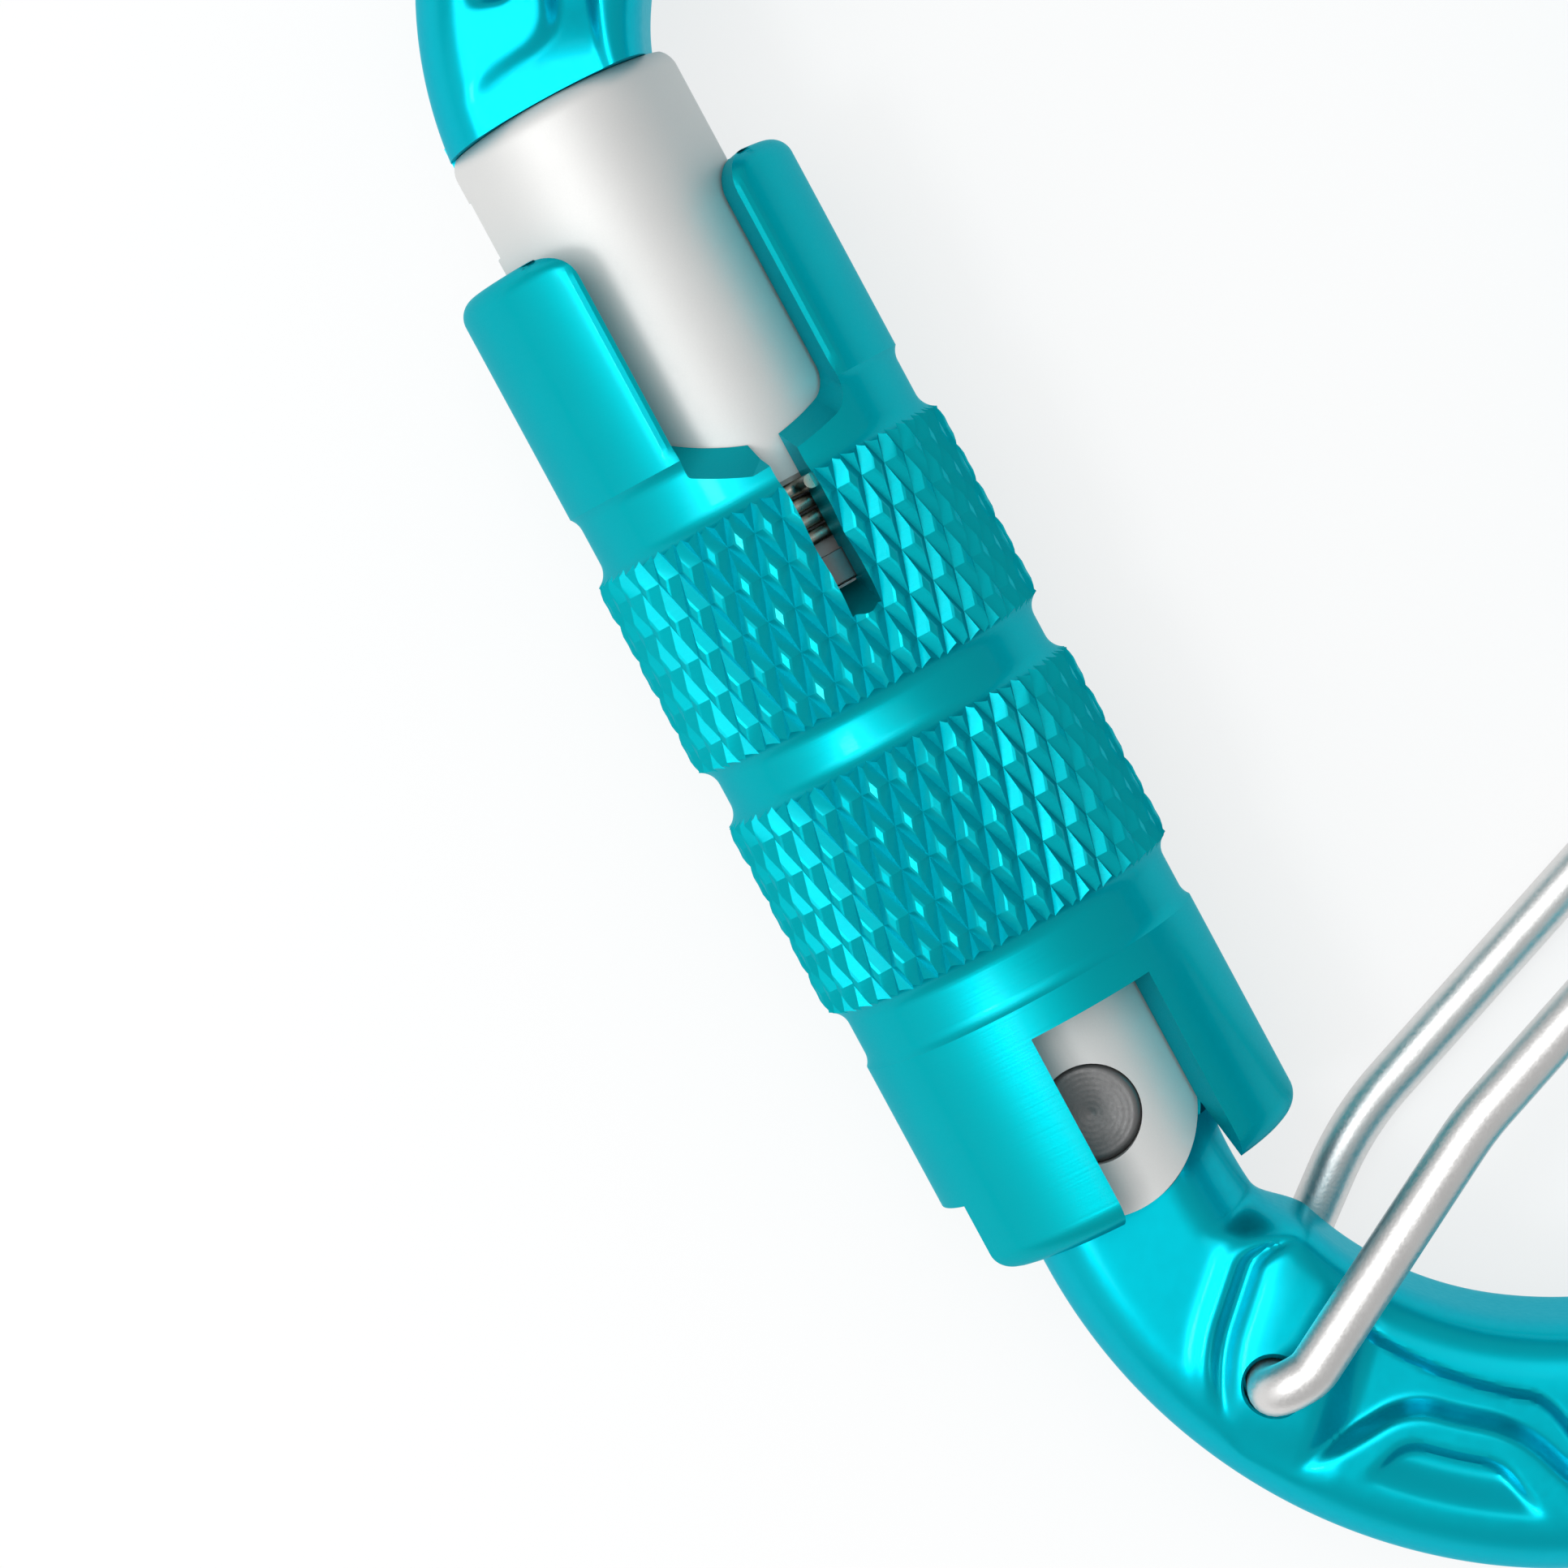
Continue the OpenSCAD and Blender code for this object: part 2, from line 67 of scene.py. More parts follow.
rivetRise = 0.65
rivetSpot = (0, rivetRise)
datum = hinge - Vector((0, rivetRise * mm, 0))
toFrame = Matrix.Translation(datum) @ Matrix.Scale(mm, 4)
fullTurn = 2 * math.pi
gateAxis = (0, 1, 0)
noseTurns = (70, 110)  # degrees about the rivet that the gate's top and the cut under the nose span
print("frame loaded, rivet at", [round(c, 5) for c in hinge])


# Shape helpers

def arc(centre, radius, start, end, steps):
    turns = [math.radians(start + (end - start) * i / steps) for i in range(steps + 1)]
    return [(centre[0] + radius * math.cos(t), centre[1] + radius * math.sin(t)) for t in turns]


def softStep(x, edge, width):
    t = min(1, max(0, (x - edge) / width + 0.5))
    return t * t * (3 - 2 * t)


def softLeast(first, second, blend):  # the lesser of two, with their crease rounded
    close = max(0, blend - abs(first - second)) / blend
    return min(first, second) - close * close * blend / 4


def mixed(first, second, share):
    return first + (second - first) * share


def aroundGate(radius, turn, v):  # turn in degrees, from the front towards the inside of the ring
    t = math.radians(turn)
    return Vector((radius * math.sin(t), v, radius * math.cos(t)))


def vertsOf(geom):
    return [g for g in geom if isinstance(g, bmesh.types.BMVert)]


def edgesOf(geom):
    return [g for g in geom if isinstance(g, bmesh.types.BMEdge)]


def rimsOf(bm):
    return [e for e in bm.edges if e.is_boundary]


def allOf(bm):
    return bm.verts[:] + bm.edges[:] + bm.faces[:]


def turnTool(bm, turn):
    about = Matrix.Rotation(math.radians(turn), 3, "Y")
    bmesh.ops.rotate(bm, cent=(0, 0, 0), matrix=about, verts=bm.verts)
    return bm


def spun(profile, steps, closed=True):  # profile of (radius, v) points, turned about the gate axis
    bm = bmesh.new()
    ring = [bm.verts.new((radius, v, 0)) for radius, v in profile]
    edges = [bm.edges.new((ring[i - 1], ring[i])) for i in range(0 if closed else 1, len(ring))]
    bmesh.ops.spin(bm, geom=ring + edges, cent=(0, 0, 0), axis=gateAxis, angle=fullTurn,
                   steps=steps, use_merge=True)
    bmesh.ops.remove_doubles(bm, verts=bm.verts, dist=0.0005)
    bmesh.ops.recalc_face_normals(bm, faces=bm.faces)
    return bm


def block(outline, low, high):  # outline of (u, v) points, extruded from low to high along z
    bm = bmesh.new()
    face = bm.faces.new([bm.verts.new((u, v, low)) for u, v in outline])
    grown = bmesh.ops.extrude_face_region(bm, geom=[face])["geom"]
    bmesh.ops.translate(bm, vec=(0, 0, high - low), verts=vertsOf(grown))
    bmesh.ops.recalc_face_normals(bm, faces=bm.faces)
    return bm


def rod(centre, radius, low, high, endRadius=None, sides=64):  # straight round bar or cone along z
    bm = bmesh.new()
    middle = Matrix.Translation((centre[0], centre[1], (low + high) / 2))
    bmesh.ops.create_cone(bm, cap_ends=True, segments=sides, radius1=radius,
                          radius2=radius if endRadius is None else endRadius,
                          depth=high - low, matrix=middle)
    return bm


def combine(base, tool, operation):  # two closed bmeshes in, one out
    blanks = []
    for bm in (base, tool):
        mesh = bpy.data.meshes.new("blank")
        bm.to_mesh(mesh)
        bm.free()
        blank = bpy.data.objects.new("blank", mesh)
        bpy.context.collection.objects.link(blank)
        blanks.append(blank)
    step = blanks[0].modifiers.new("step", "BOOLEAN")
    step.object = blanks[1]
    step.operation = operation
    step.solver = "EXACT"
    result = bmesh.new()
    result.from_object(blanks[0], bpy.context.evaluated_depsgraph_get())
    for blank in blanks:
        mesh = blank.data
        bpy.data.objects.remove(blank)
        bpy.data.meshes.remove(mesh)
    return result


def placePiece(bm, name, body, material, node, sharp=32):  # sharp in degrees
    bmesh.ops.triangulate(bm, faces=[f for f in bm.faces if len(f.verts) > 4])
    bmesh.ops.transform(bm, matrix=toFrame, verts=bm.verts)
    mesh = bpy.data.meshes.new(name)
    bm.to_mesh(mesh)
    bm.free()
    mesh.shade_smooth()
    mesh.set_sharp_from_angle(angle=math.radians(sharp))
    mesh.materials.append(material)
    piece = bpy.data.objects.new(name, mesh)
    bpy.context.collection.objects.link(piece)
    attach(piece, body)
    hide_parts(node)
    print(name, "has", len(mesh.polygons), "faces")
    return piece


# Finishes

def newGroup(name, inputs, outputs):
    group = bpy.data.node_groups.new(name, "ShaderNodeTree")
    for label, kind, value in inputs:
        socket = group.interface.new_socket(label, in_out="INPUT", socket_type=kind)
        if value is not None:
            socket.default_value = value
    for label in outputs:
        group.interface.new_socket(label, in_out="OUTPUT", socket_type="NodeSocketFloat")
    return group, group.nodes.new("NodeGroupInput"), group.nodes.new("NodeGroupOutput")


def mathNode(tree, operation, first, second):
    node = tree.nodes.new("ShaderNodeMath")
    node.operation = operation
    for socket, value in zip(node.inputs, (first, second)):
        if isinstance(value, (int, float)):
            socket.default_value = value
        else:
            tree.links.new(value, socket)
    return node.outputs[0]


def makeGrain():  # fine blasted or forged grain: a height and a slow patchy mask
    group, given, out = newGroup("surfaceGrain", [
        ("Place", "NodeSocketVector", None), ("Fine", "NodeSocketFloat", 12.0),
        ("Broad", "NodeSocketFloat", 0.35)], ["Height", "Patches"])
    for scale, detail, result in (("Fine", 3, "Height"), ("Broad", 2, "Patches")):
        noise = group.nodes.new("ShaderNodeTexNoise")
        noise.inputs["Detail"].default_value = detail
        group.links.new(given.outputs["Place"], noise.inputs["Vector"])
        group.links.new(given.outputs[scale], noise.inputs["Scale"])
        group.links.new(noise.outputs["Fac"], out.inputs[result])
    return group


def makeLines():  # uneven tool lines at right angles to one direction
    group, given, out = newGroup("toolLines", [
        ("Along", "NodeSocketFloat", 0.0), ("Pitch", "NodeSocketFloat", 0.2),
        ("Waver", "NodeSocketFloat", 0.0)], ["Height"])
    steps = mathNode(group, "DIVIDE", given.outputs["Along"], given.outputs["Pitch"])
    place = group.nodes.new("ShaderNodeCombineXYZ")
    group.links.new(steps, place.inputs["X"])
    group.links.new(given.outputs["Waver"], place.inputs["Y"])
    noise = group.nodes.new("ShaderNodeTexNoise")
    noise.noise_dimensions = "2D"
    noise.inputs["Scale"].default_value = 1
    noise.inputs["Detail"].default_value = 4
    group.links.new(place.outputs[0], noise.inputs["Vector"])
    group.links.new(noise.outputs["Fac"], out.inputs["Height"])
    return group


grainGroup = makeGrain()
linesGroup = makeLines()
grainSpread = (0.3, 0.7)  # the grain's heights that the roughness runs between


def newMetal(name, finish):  # grain, patchy colour and gloss, and tool lines if the finish has them
    material = bpy.data.materials.new(name)
    material.use_nodes = True
    tree = material.node_tree
    shader = tree.nodes["Principled BSDF"]
    shader.inputs["Metallic"].default_value = finish["metallic"]
    shader.inputs["Specular Tint"].default_value = (*finish.get("edgeTint", (1, 1, 1)), 1)
    shader.inputs["Specular IOR Level"].default_value = finish.get("plainGloss", 0.5)
    shader.inputs["Coat Weight"].default_value = finish.get("coat", 0)
    shader.inputs["Coat Roughness"].default_value = finish.get("coatRoughness", 0.1)
    coordinates = tree.nodes.new("ShaderNodeTexCoord")
    place = tree.nodes.new("ShaderNodeMapping")
    place.inputs["Location"].default_value = -hinge / mm
    place.inputs["Scale"].default_value = (1 / mm, 1 / mm, 1 / mm)
    tree.links.new(coordinates.outputs["Object"], place.inputs["Vector"])
    grain = tree.nodes.new("ShaderNodeGroup")
    grain.node_tree = grainGroup
    grain.inputs["Fine"].default_value = finish["grainScale"]
    grain.inputs["Broad"].default_value = finish["patchScale"]
    tree.links.new(place.outputs[0], grain.inputs["Place"])

    colour = tree.nodes.new("ShaderNodeMix")
    colour.data_type = "RGBA"
    colour.inputs["A"].default_value = (*finish["colour"], 1)
    colour.inputs["B"].default_value = (*finish["patchColour"], 1)
    tree.links.new(grain.outputs["Patches"], colour.inputs["Factor"])
    tree.links.new(colour.outputs["Result"], shader.inputs["Base Color"])
    gloss = tree.nodes.new("ShaderNodeMapRange")
    gloss.inputs["From Min"].default_value = grainSpread[0]
    gloss.inputs["From Max"].default_value = grainSpread[1]
    gloss.inputs["To Min"].default_value = finish["roughness"][0]
    gloss.inputs["To Max"].default_value = finish["roughness"][1]
    tree.links.new(grain.outputs["Height"], gloss.inputs["Value"])
    tree.links.new(gloss.outputs["Result"], shader.inputs["Roughness"])

    height = grain.outputs["Height"]
    if "lines" in finish:
        axes = tree.nodes.new("ShaderNodeSeparateXYZ")
        tree.links.new(place.outputs[0], axes.inputs[0])
        along = axes.outputs["Y"]
        waver = axes.outputs["X"]
        if finish["lines"] == "rings":  # rings about the rivet
            squares = mathNode(tree, "ADD", mathNode(tree, "POWER", axes.outputs["X"], 2),
                               mathNode(tree, "POWER", axes.outputs["Y"], 2))
            along = mathNode(tree, "SQRT", squares, 0)
            waver = axes.outputs["Z"]
        lines = tree.nodes.new("ShaderNodeGroup")
        lines.node_tree = linesGroup
        lines.inputs["Pitch"].default_value = finish["pitch"]
        tree.links.new(along, lines.inputs["Along"])
        tree.links.new(mathNode(tree, "MULTIPLY", waver, finish["waver"]), lines.inputs["Waver"])
        height = mathNode(tree, "ADD", mathNode(tree, "MULTIPLY", height, finish["grainShare"]),
                          lines.outputs["Height"])
    bump = tree.nodes.new("ShaderNodeBump")
    bump.inputs["Strength"].default_value = finish["bump"]
    bump.inputs["Distance"].default_value = finish["bumpDepth"] * mm
    tree.links.new(height, bump.inputs["Height"])
    tree.links.new(bump.outputs["Normal"], shader.inputs["Normal"])
    return material


bodyFinish = newMetal("forgedTurquoise", {
    "colour": (0.0, 0.47, 0.585), "patchColour": (0.0, 0.50, 0.605), "metallic": 0.9,
    "roughness": (0.30, 0.37), "edgeTint": (0.0, 0.7, 0.8), "plainGloss": 0.0,
    "coat": 0.08, "coatRoughness": 0.06, "grainScale": 3.0, "patchScale": 0.2,
    "bump": 0.12, "bumpDepth": 0.02})
sleeveFinish = newMetal("turnedTurquoise", {
    "colour": (0.0, 0.43, 0.50), "patchColour": (0.0, 0.46, 0.52), "metallic": 0.9,
    "roughness": (0.37, 0.45), "edgeTint": (0.0, 0.7, 0.8), "plainGloss": 0.0,
    "coat": 0.08, "coatRoughness": 0.1, "grainScale": 14.0, "patchScale": 0.3,
    "lines": "gate", "pitch": 0.12, "waver": 0.15, "grainShare": 0.5,
    "bump": 0.18, "bumpDepth": 0.02})
gateFinish = newMetal("blastedGate", {
    "colour": (0.70, 0.70, 0.69), "patchColour": (0.74, 0.74, 0.73), "metallic": 0.6,
    "roughness": (0.58, 0.66), "plainGloss": 0.3, "grainScale": 16.0, "patchScale": 0.25,
    "bump": 0.12, "bumpDepth": 0.015})
rivetFinish = newMetal("turnedRivet", {
    "colour": (0.16, 0.16, 0.16), "patchColour": (0.22, 0.22, 0.22), "metallic": 1.0,
    "roughness": (0.44, 0.56), "grainScale": 9.0, "patchScale": 0.8,
    "lines": "rings", "pitch": 0.16, "waver": 0.0, "grainShare": 0.9,
    "bump": 0.15, "bumpDepth": 0.03})
springFinish = newMetal("drawnSpring", {
    "colour": (0.34, 0.31, 0.26), "patchColour": (0.46, 0.42, 0.36), "metallic": 1.0,
    "roughness": (0.25, 0.38), "grainScale": 9.0, "patchScale": 1.2, "bump": 0.2, "bumpDepth": 0.01})
ringFinish = newMetal("darkRing", {
    "colour": (0.13, 0.13, 0.13), "patchColour": (0.17, 0.17, 0.17), "metallic": 1.0,
    "roughness": (0.34, 0.44), "grainScale": 9.0, "patchScale": 0.8, "bump": 0.2, "bumpDepth": 0.01})
bailFinish = newMetal("satinWire", {
    "colour": (0.70, 0.69, 0.68), "patchColour": (0.80, 0.79, 0.78), "metallic": 1.0,
    "roughness": (0.34, 0.48), "grainScale": 8.0, "patchScale": 0.5, "bump": 0.4, "bumpDepth": 0.02})
keptNodes = {"spring_seat_ring": ringFinish, "guide_pin": rivetFinish, "gate_plunger": rivetFinish}
for nodeName, finish in keptNodes.items():
    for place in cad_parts[nodeName].material_slots:
        place.material = finish
print("finishes ready")


# Forged body

bodyForm = {
    "half": 5.0, "innerPower": 5.0, "outerPower": 2.7, "barHalf": 4.65,
    "lowCentre": (18.65, -3.9), "lowMid": 18.63, "lean": 18.0, "spineLength": 57.0,
    "cornerOuter": 16.5, "crownOuter": 46.0, "noseOuter": 17.5, "noseCentre": (12.65, 44.2),
    "start": 172.0, "freeTurn": 176.0, "freeRun": 8.0,
    "neckOuter": 4.45, "neckHalf": 4.7, "neckInner": 3.93, "neckPower": 1.9, "neckOuterPower": 2.05,
    "neckFrom": 185.9, "neckTo": 197.3,
    "swell": 4.8, "swellRise": 0.48, "swellEnd": 262.0, "swellRun": 56.0,
    "noseTaper": 0.55, "taperEnd": 4.0, "taperRun": 8.0,
    "land": 4.5, "flange": 4.92, "crease": 0.3, "footShare": 0.55,
    "spineGroove": 2.4, "spineGrooveHalf": 1.9, "grooveWall": 0.8, "grooveEnd": 4.0, "grooveRun": 4.0,
    "crownStart": 6.0, "crownPocket": 1.1, "pocketHalf": 1.9, "pocketFrom": 18.0, "pocketEnd": 2.0,
    "pocketRun": 3.0,
    "fineStep": 0.13, "coarseStep": 1.1, "fineFoot": 27.0, "fineNose": 13.0, "faceSteps": 104,
    "seam": 0.002, "smoothings": 2,
}
bossForm = {
    "pivot": (1.2, -12.4), "tilt": 44.0, "half": 2.6, "top": 4.97, "crown": 0.42,
    "bowFrom": 1.9, "bow": 0.07, "bendFrom": 4.2, "bend": 0.5,
    "ridgeLine": 3.0, "ridge": 0.3, "ridgeWidth": 0.5, "ridgeStart": 0.6, "ridgeRun": 1.8,
    "grooveLine": 2.35, "groove": 0.34, "grooveWidth": 0.42,
    "outerEnd": -2.0, "outerDrop": 0.7, "outerRun": 2.4, "shoulder": 1.3, "moatGap": 0.1, "moatRun": 1.9,
}
# Moat, raised island and its recess: levels over the bar's middle, lines as (place along, place out, tilt)
footIsland = {
    "from": 206.0, "moat": 3.45, "island": 4.55, "recess": 3.75,
    "wall": -3.2, "wallRise": 0.072, "wallEnd": 10.3,
    "left": (2.7, 2.5, 34.0), "right": (10.3, -0.94, 133.0), "inner": -1.15,
    "recessLeft": (5.5, 0.6, 26.0), "recessRight": (9.9, 0.76, 140.0), "recessInner": 0.3,
}
noseIsland = {
    "from": 166.9, "moat": 3.5, "island": 4.62, "recess": 3.85,
    "wall": -3.0, "wallRise": 0.05, "wallEnd": 14.0,
    "left": (2.95, 1.8, 20.0), "right": (13.5, -0.94, 133.0), "inner": -1.05,
    "recessLeft": (5.6, 1.3, 10.0), "recessRight": (12.5, 0.76, 140.0), "recessInner": 0.35,
    "ahead": 2.7, "length": 17.0, "landDrop": 0.02, "moatFrom": 4.8, "moatRun": 4.5,
}
islandEdge = {"corner": 1.2, "slope": 0.7, "wallCurl": 0.35, "recessCorner": 0.7, "recessEdge": 0.1,
              "recessSlope": 0.5, "recessOut": 1.75, "recessOutSlope": 1.7}


def buildPath(form):  # arcs and one straight, each as (length, function of distance)
    half = form["barHalf"]
    lean = math.radians(form["lean"])
    lowCentre = Vector(form["lowCentre"])
    noseCentre = Vector(form["noseCentre"])
    outSpine = Vector((math.cos(lean), -math.sin(lean)))
    upSpine = Vector((math.sin(lean), math.cos(lean)))
    lowOuter = form["lowMid"] + half
    cornerCentre = lowCentre + (lowOuter - form["cornerOuter"]) * outSpine + form["spineLength"] * upSpine
    span = cornerCentre - noseCentre
    noseReach = form["crownOuter"] - form["noseOuter"]
    cornerReach = form["crownOuter"] - form["cornerOuter"]
    along = (noseReach ** 2 - cornerReach ** 2 + span.length_squared) / (2 * span.length)
    below = math.sqrt(noseReach ** 2 - along ** 2)
    across = span.normalized()
    crownCentre = noseCentre + along * across + below * Vector((across.y, -across.x))
    cornerEnd = math.atan2(*(cornerCentre - crownCentre).yx)
    crownEnd = math.atan2(*(noseCentre - crownCentre).yx)

    def bend(centre, radius, start, end):
        def at(distance):
            turn = start + distance / radius
            out = Vector((math.cos(turn), math.sin(turn)))
            return centre + radius * out, out
        return radius * (end - start), at

    def straight(start, length):
        return length, lambda distance: (start + distance * upSpine, outSpine)

    return [bend(lowCentre, form["lowMid"], math.radians(form["start"]), fullTurn - lean),
            straight(lowCentre + form["lowMid"] * outSpine, form["spineLength"]),
            bend(cornerCentre, form["cornerOuter"] - half, -lean, cornerEnd),
            bend(crownCentre, form["crownOuter"] - half, cornerEnd, crownEnd),
            bend(noseCentre, form["noseOuter"] - half, crownEnd, math.pi)]


def pastLine(line, s, w):  # distance past a line, whose normal is tilted from the bar's direction
    tilt = math.radians(line[2])
    return (s - line[0]) * math.cos(tilt) + (w - line[1]) * math.sin(tilt)


def islandLevel(form, island, moat, s, w):  # s along the bar from the boss or the nose's step, w outwards
    edge = islandEdge
    inside = softLeast(softLeast(pastLine(island["left"], s, w), w - island["inner"], edge["corner"]),
                       pastLine(island["right"], s, w), edge["corner"])
    wall = island["wall"] + island["wallRise"] * s + edge["wallCurl"] * max(0, s - island["wallEnd"]) ** 2
    level = mixed(moat, form["flange"], softStep(wall - w, 0, edge["slope"]))
    level = mixed(level, island["island"], softStep(inside, 0, edge["slope"]))
    corner = edge["recessCorner"]
    pit = softLeast(softLeast(pastLine(island["recessLeft"], s, w), w - island["recessInner"], corner),
                    pastLine(island["recessRight"], s, w), corner)
    share = softStep(pit, edge["recessEdge"], edge["recessSlope"])
    share *= 1 - softStep(w, edge["recessOut"], edge["recessOutSlope"])
    return mixed(level, island["recess"], share)


def footLevel(form, s, w, point):  # land, boss and grooves, then the moat and island
    boss = bossForm
    arm = point - Vector(boss["pivot"])
    tilt = math.radians(boss["tilt"])
    e1 = arm.x * math.cos(tilt) + arm.y * math.sin(tilt)
    e2 = arm.y * math.cos(tilt) - arm.x * math.sin(tilt)
    across = e2 + boss["bow"] * min(0, e1 - boss["bowFrom"]) ** 2
    across += boss["bend"] * max(0, e1 - boss["bendFrom"]) ** 2
    level = boss["top"] - boss["crown"] * (across / boss["half"]) ** 2
    level -= boss["outerDrop"] * softStep(-e1, -boss["outerEnd"], boss["outerRun"])
    level = mixed(level, form["land"], softStep(across, boss["grooveLine"], boss["shoulder"]))
    moat = islandLevel(form, footIsland, footIsland["moat"], s, w)
    level = mixed(level, moat, softStep(-e2, boss["half"] + boss["moatGap"], boss["moatRun"]))
    ridge = boss["ridge"] * math.exp(-((across - boss["ridgeLine"]) / boss["ridgeWidth"]) ** 2)
    groove = boss["groove"] * math.exp(-((across - boss["grooveLine"]) / boss["grooveWidth"]) ** 2)
    return level + (ridge - groove) * softStep(e1, boss["outerEnd"] + boss["ridgeStart"], boss["ridgeRun"])


def bodyLevel(form, lengths, distance, w, point):  # height that the relief leaves, over the bar's middle
    total = sum(lengths)
    low = lengths[0]
    spineEnd = low + lengths[1]
    crownFrom = spineEnd + lengths[2] + form["crownStart"]
    if distance < low * form["footShare"]:
        s = distance - math.radians(footIsland["from"] - form["start"]) * form["lowMid"]
        return footLevel(form, s, w, point)
    level = form["flange"]
    if low < distance < spineEnd:
        ends = min(distance - low, spineEnd - distance)
        groove = softStep(form["spineGrooveHalf"] - abs(w), 0, form["grooveWall"])
        level -= form["spineGroove"] * groove * softStep(ends, form["grooveEnd"], form["grooveRun"])
    elif distance > crownFrom:
        nose = noseIsland
        noseMid = form["noseOuter"] - form["barHalf"]
        s = nose["ahead"] + total - distance - math.radians(180 - nose["from"]) * noseMid
        if s < nose["length"]:
            deep = softStep(s, nose["moatFrom"], nose["moatRun"])
            moat = mixed(form["land"] - nose["landDrop"], nose["moat"], deep)
            level = islandLevel(form, nose, moat, s, w)
        ends = min(s - form["pocketFrom"], distance - crownFrom)
        if ends > 0:
            pocket = softStep(form["pocketHalf"] - abs(w), 0, form["grooveWall"])
            level -= form["crownPocket"] * pocket * softStep(ends, form["pocketEnd"], form["pocketRun"])
    return level


def barSection(form, lengths, distance):  # half widths, half thickness and how square the section is
    plain = form["barHalf"]
    if distance < lengths[0]:
        turn = form["start"] + math.degrees(distance / form["lowMid"])
        swell = form["swell"] - form["swellRise"] * math.sin(math.radians(turn))
        half = mixed(swell, plain, softStep(turn, form["swellEnd"], form["swellRun"]))
        neckMid = (form["neckFrom"] + form["neckTo"]) / 2
        grown = softStep(turn, neckMid, form["neckTo"] - form["neckFrom"])
        free = softStep(turn, form["freeTurn"], form["freeRun"])
        return (mixed(form["neckInner"], half, grown), mixed(form["neckOuter"], half, free),
                mixed(form["neckHalf"], form["half"], free),
                mixed(form["neckPower"], form["innerPower"], grown),
                mixed(form["neckOuterPower"], form["outerPower"], free))
    taper = 1 - softStep(sum(lengths) - distance, form["taperEnd"], form["taperRun"])
    return plain - form["noseTaper"] * taper, plain, form["half"], form["innerPower"], form["outerPower"]


def makeBody(form):
    path = buildPath(form)
    lengths = [length for length, at in path]
    total = sum(lengths)

    def stretch(start, end, step):
        count = round((end - start) / step)
        return [start + (end - start) * i / count for i in range(count)]

    stations = stretch(0, form["fineFoot"], form["fineStep"])
    stations += stretch(form["fineFoot"], total - form["fineNose"], form["coarseStep"])
    stations += stretch(total - form["fineNose"], total, form["fineStep"]) + [total]

    def pathAt(distance):
        for length, at in path:
            if distance <= length:
                return at(distance)
            distance -= length
        return path[-1][1](path[-1][0])

    places = [pathAt(d) for d in stations]
    sections = [barSection(form, lengths, d) for d in stations]
    columns = len(stations) - 1
    rows = 2 * form["faceSteps"]
    bm = bmesh.new()
    bmesh.ops.create_grid(bm, x_segments=columns, y_segments=rows, size=1)
    for vert in bm.verts:  # the flat sheet is wrapped round the bar, front face first
        column = round((vert.co.x + 1) / 2 * columns)
        row = round((vert.co.y + 1) / 2 * rows)
        middle, out = places[column]
        inner, outer, thick, innerPower, outerPower = sections[column]
        share = math.sin(math.pi * (row / form["faceSteps"] - 0.5))
        face = 1 if row <= form["faceSteps"] else -1
        w = share * (outer if share > 0 else inner)
        power = outerPower if share > 0 else innerPower
        z = thick * max(0, 1 - abs(share) ** power) ** (1 / power)
        flat = middle + w * out
        level = bodyLevel(form, lengths, stations[column], w, flat)
        z = max(0, softLeast(z, level, form["crease"]))
        vert.co = (flat.x, flat.y, face * z)
    bmesh.ops.remove_doubles(bm, verts=bm.verts, dist=form["seam"])
    inside = [v for v in bm.verts if not v.is_boundary]
    for turn in range(form["smoothings"]):
        bmesh.ops.smooth_vert(bm, verts=inside, factor=0.5, use_axis_z=True)
    bmesh.ops.holes_fill(bm, edges=rimsOf(bm), sides=0)
    bmesh.ops.recalc_face_normals(bm, faces=bm.faces)
    return bm


hookForm = {
    "away": 20.0, "earRoom": 4.31, "earSides": 128,
    "tabRadius": 4.4, "tabHalf": 2.0, "heel": 4.15, "tabFoot": -6.5, "tabSide": 3.8, "tabInner": 3.45,
    "tabOuterTurn": 200.0, "tabInnerTurn": -34.0, "neckOff": -0.45,
    "sweep": 45.45, "sweepSteps": 48, "noseTip": 42.0, "noseRoot": 46.5, "noseOut": -4.72, "noseIn": 3.2,
    "noseHalf": 1.0, "keyHalf": 1.35, "keyHeight": 1.6, "keyOut": -4.6, "rivetHole": 2.02,
    "bailHole": 1.15, "holeFloor": 2.6, "holeRise": 1.0,
    "mouthLow": 1.05, "mouthHigh": 1.9, "mouthDepth": 0.5, "mouthRise": 0.6,
}


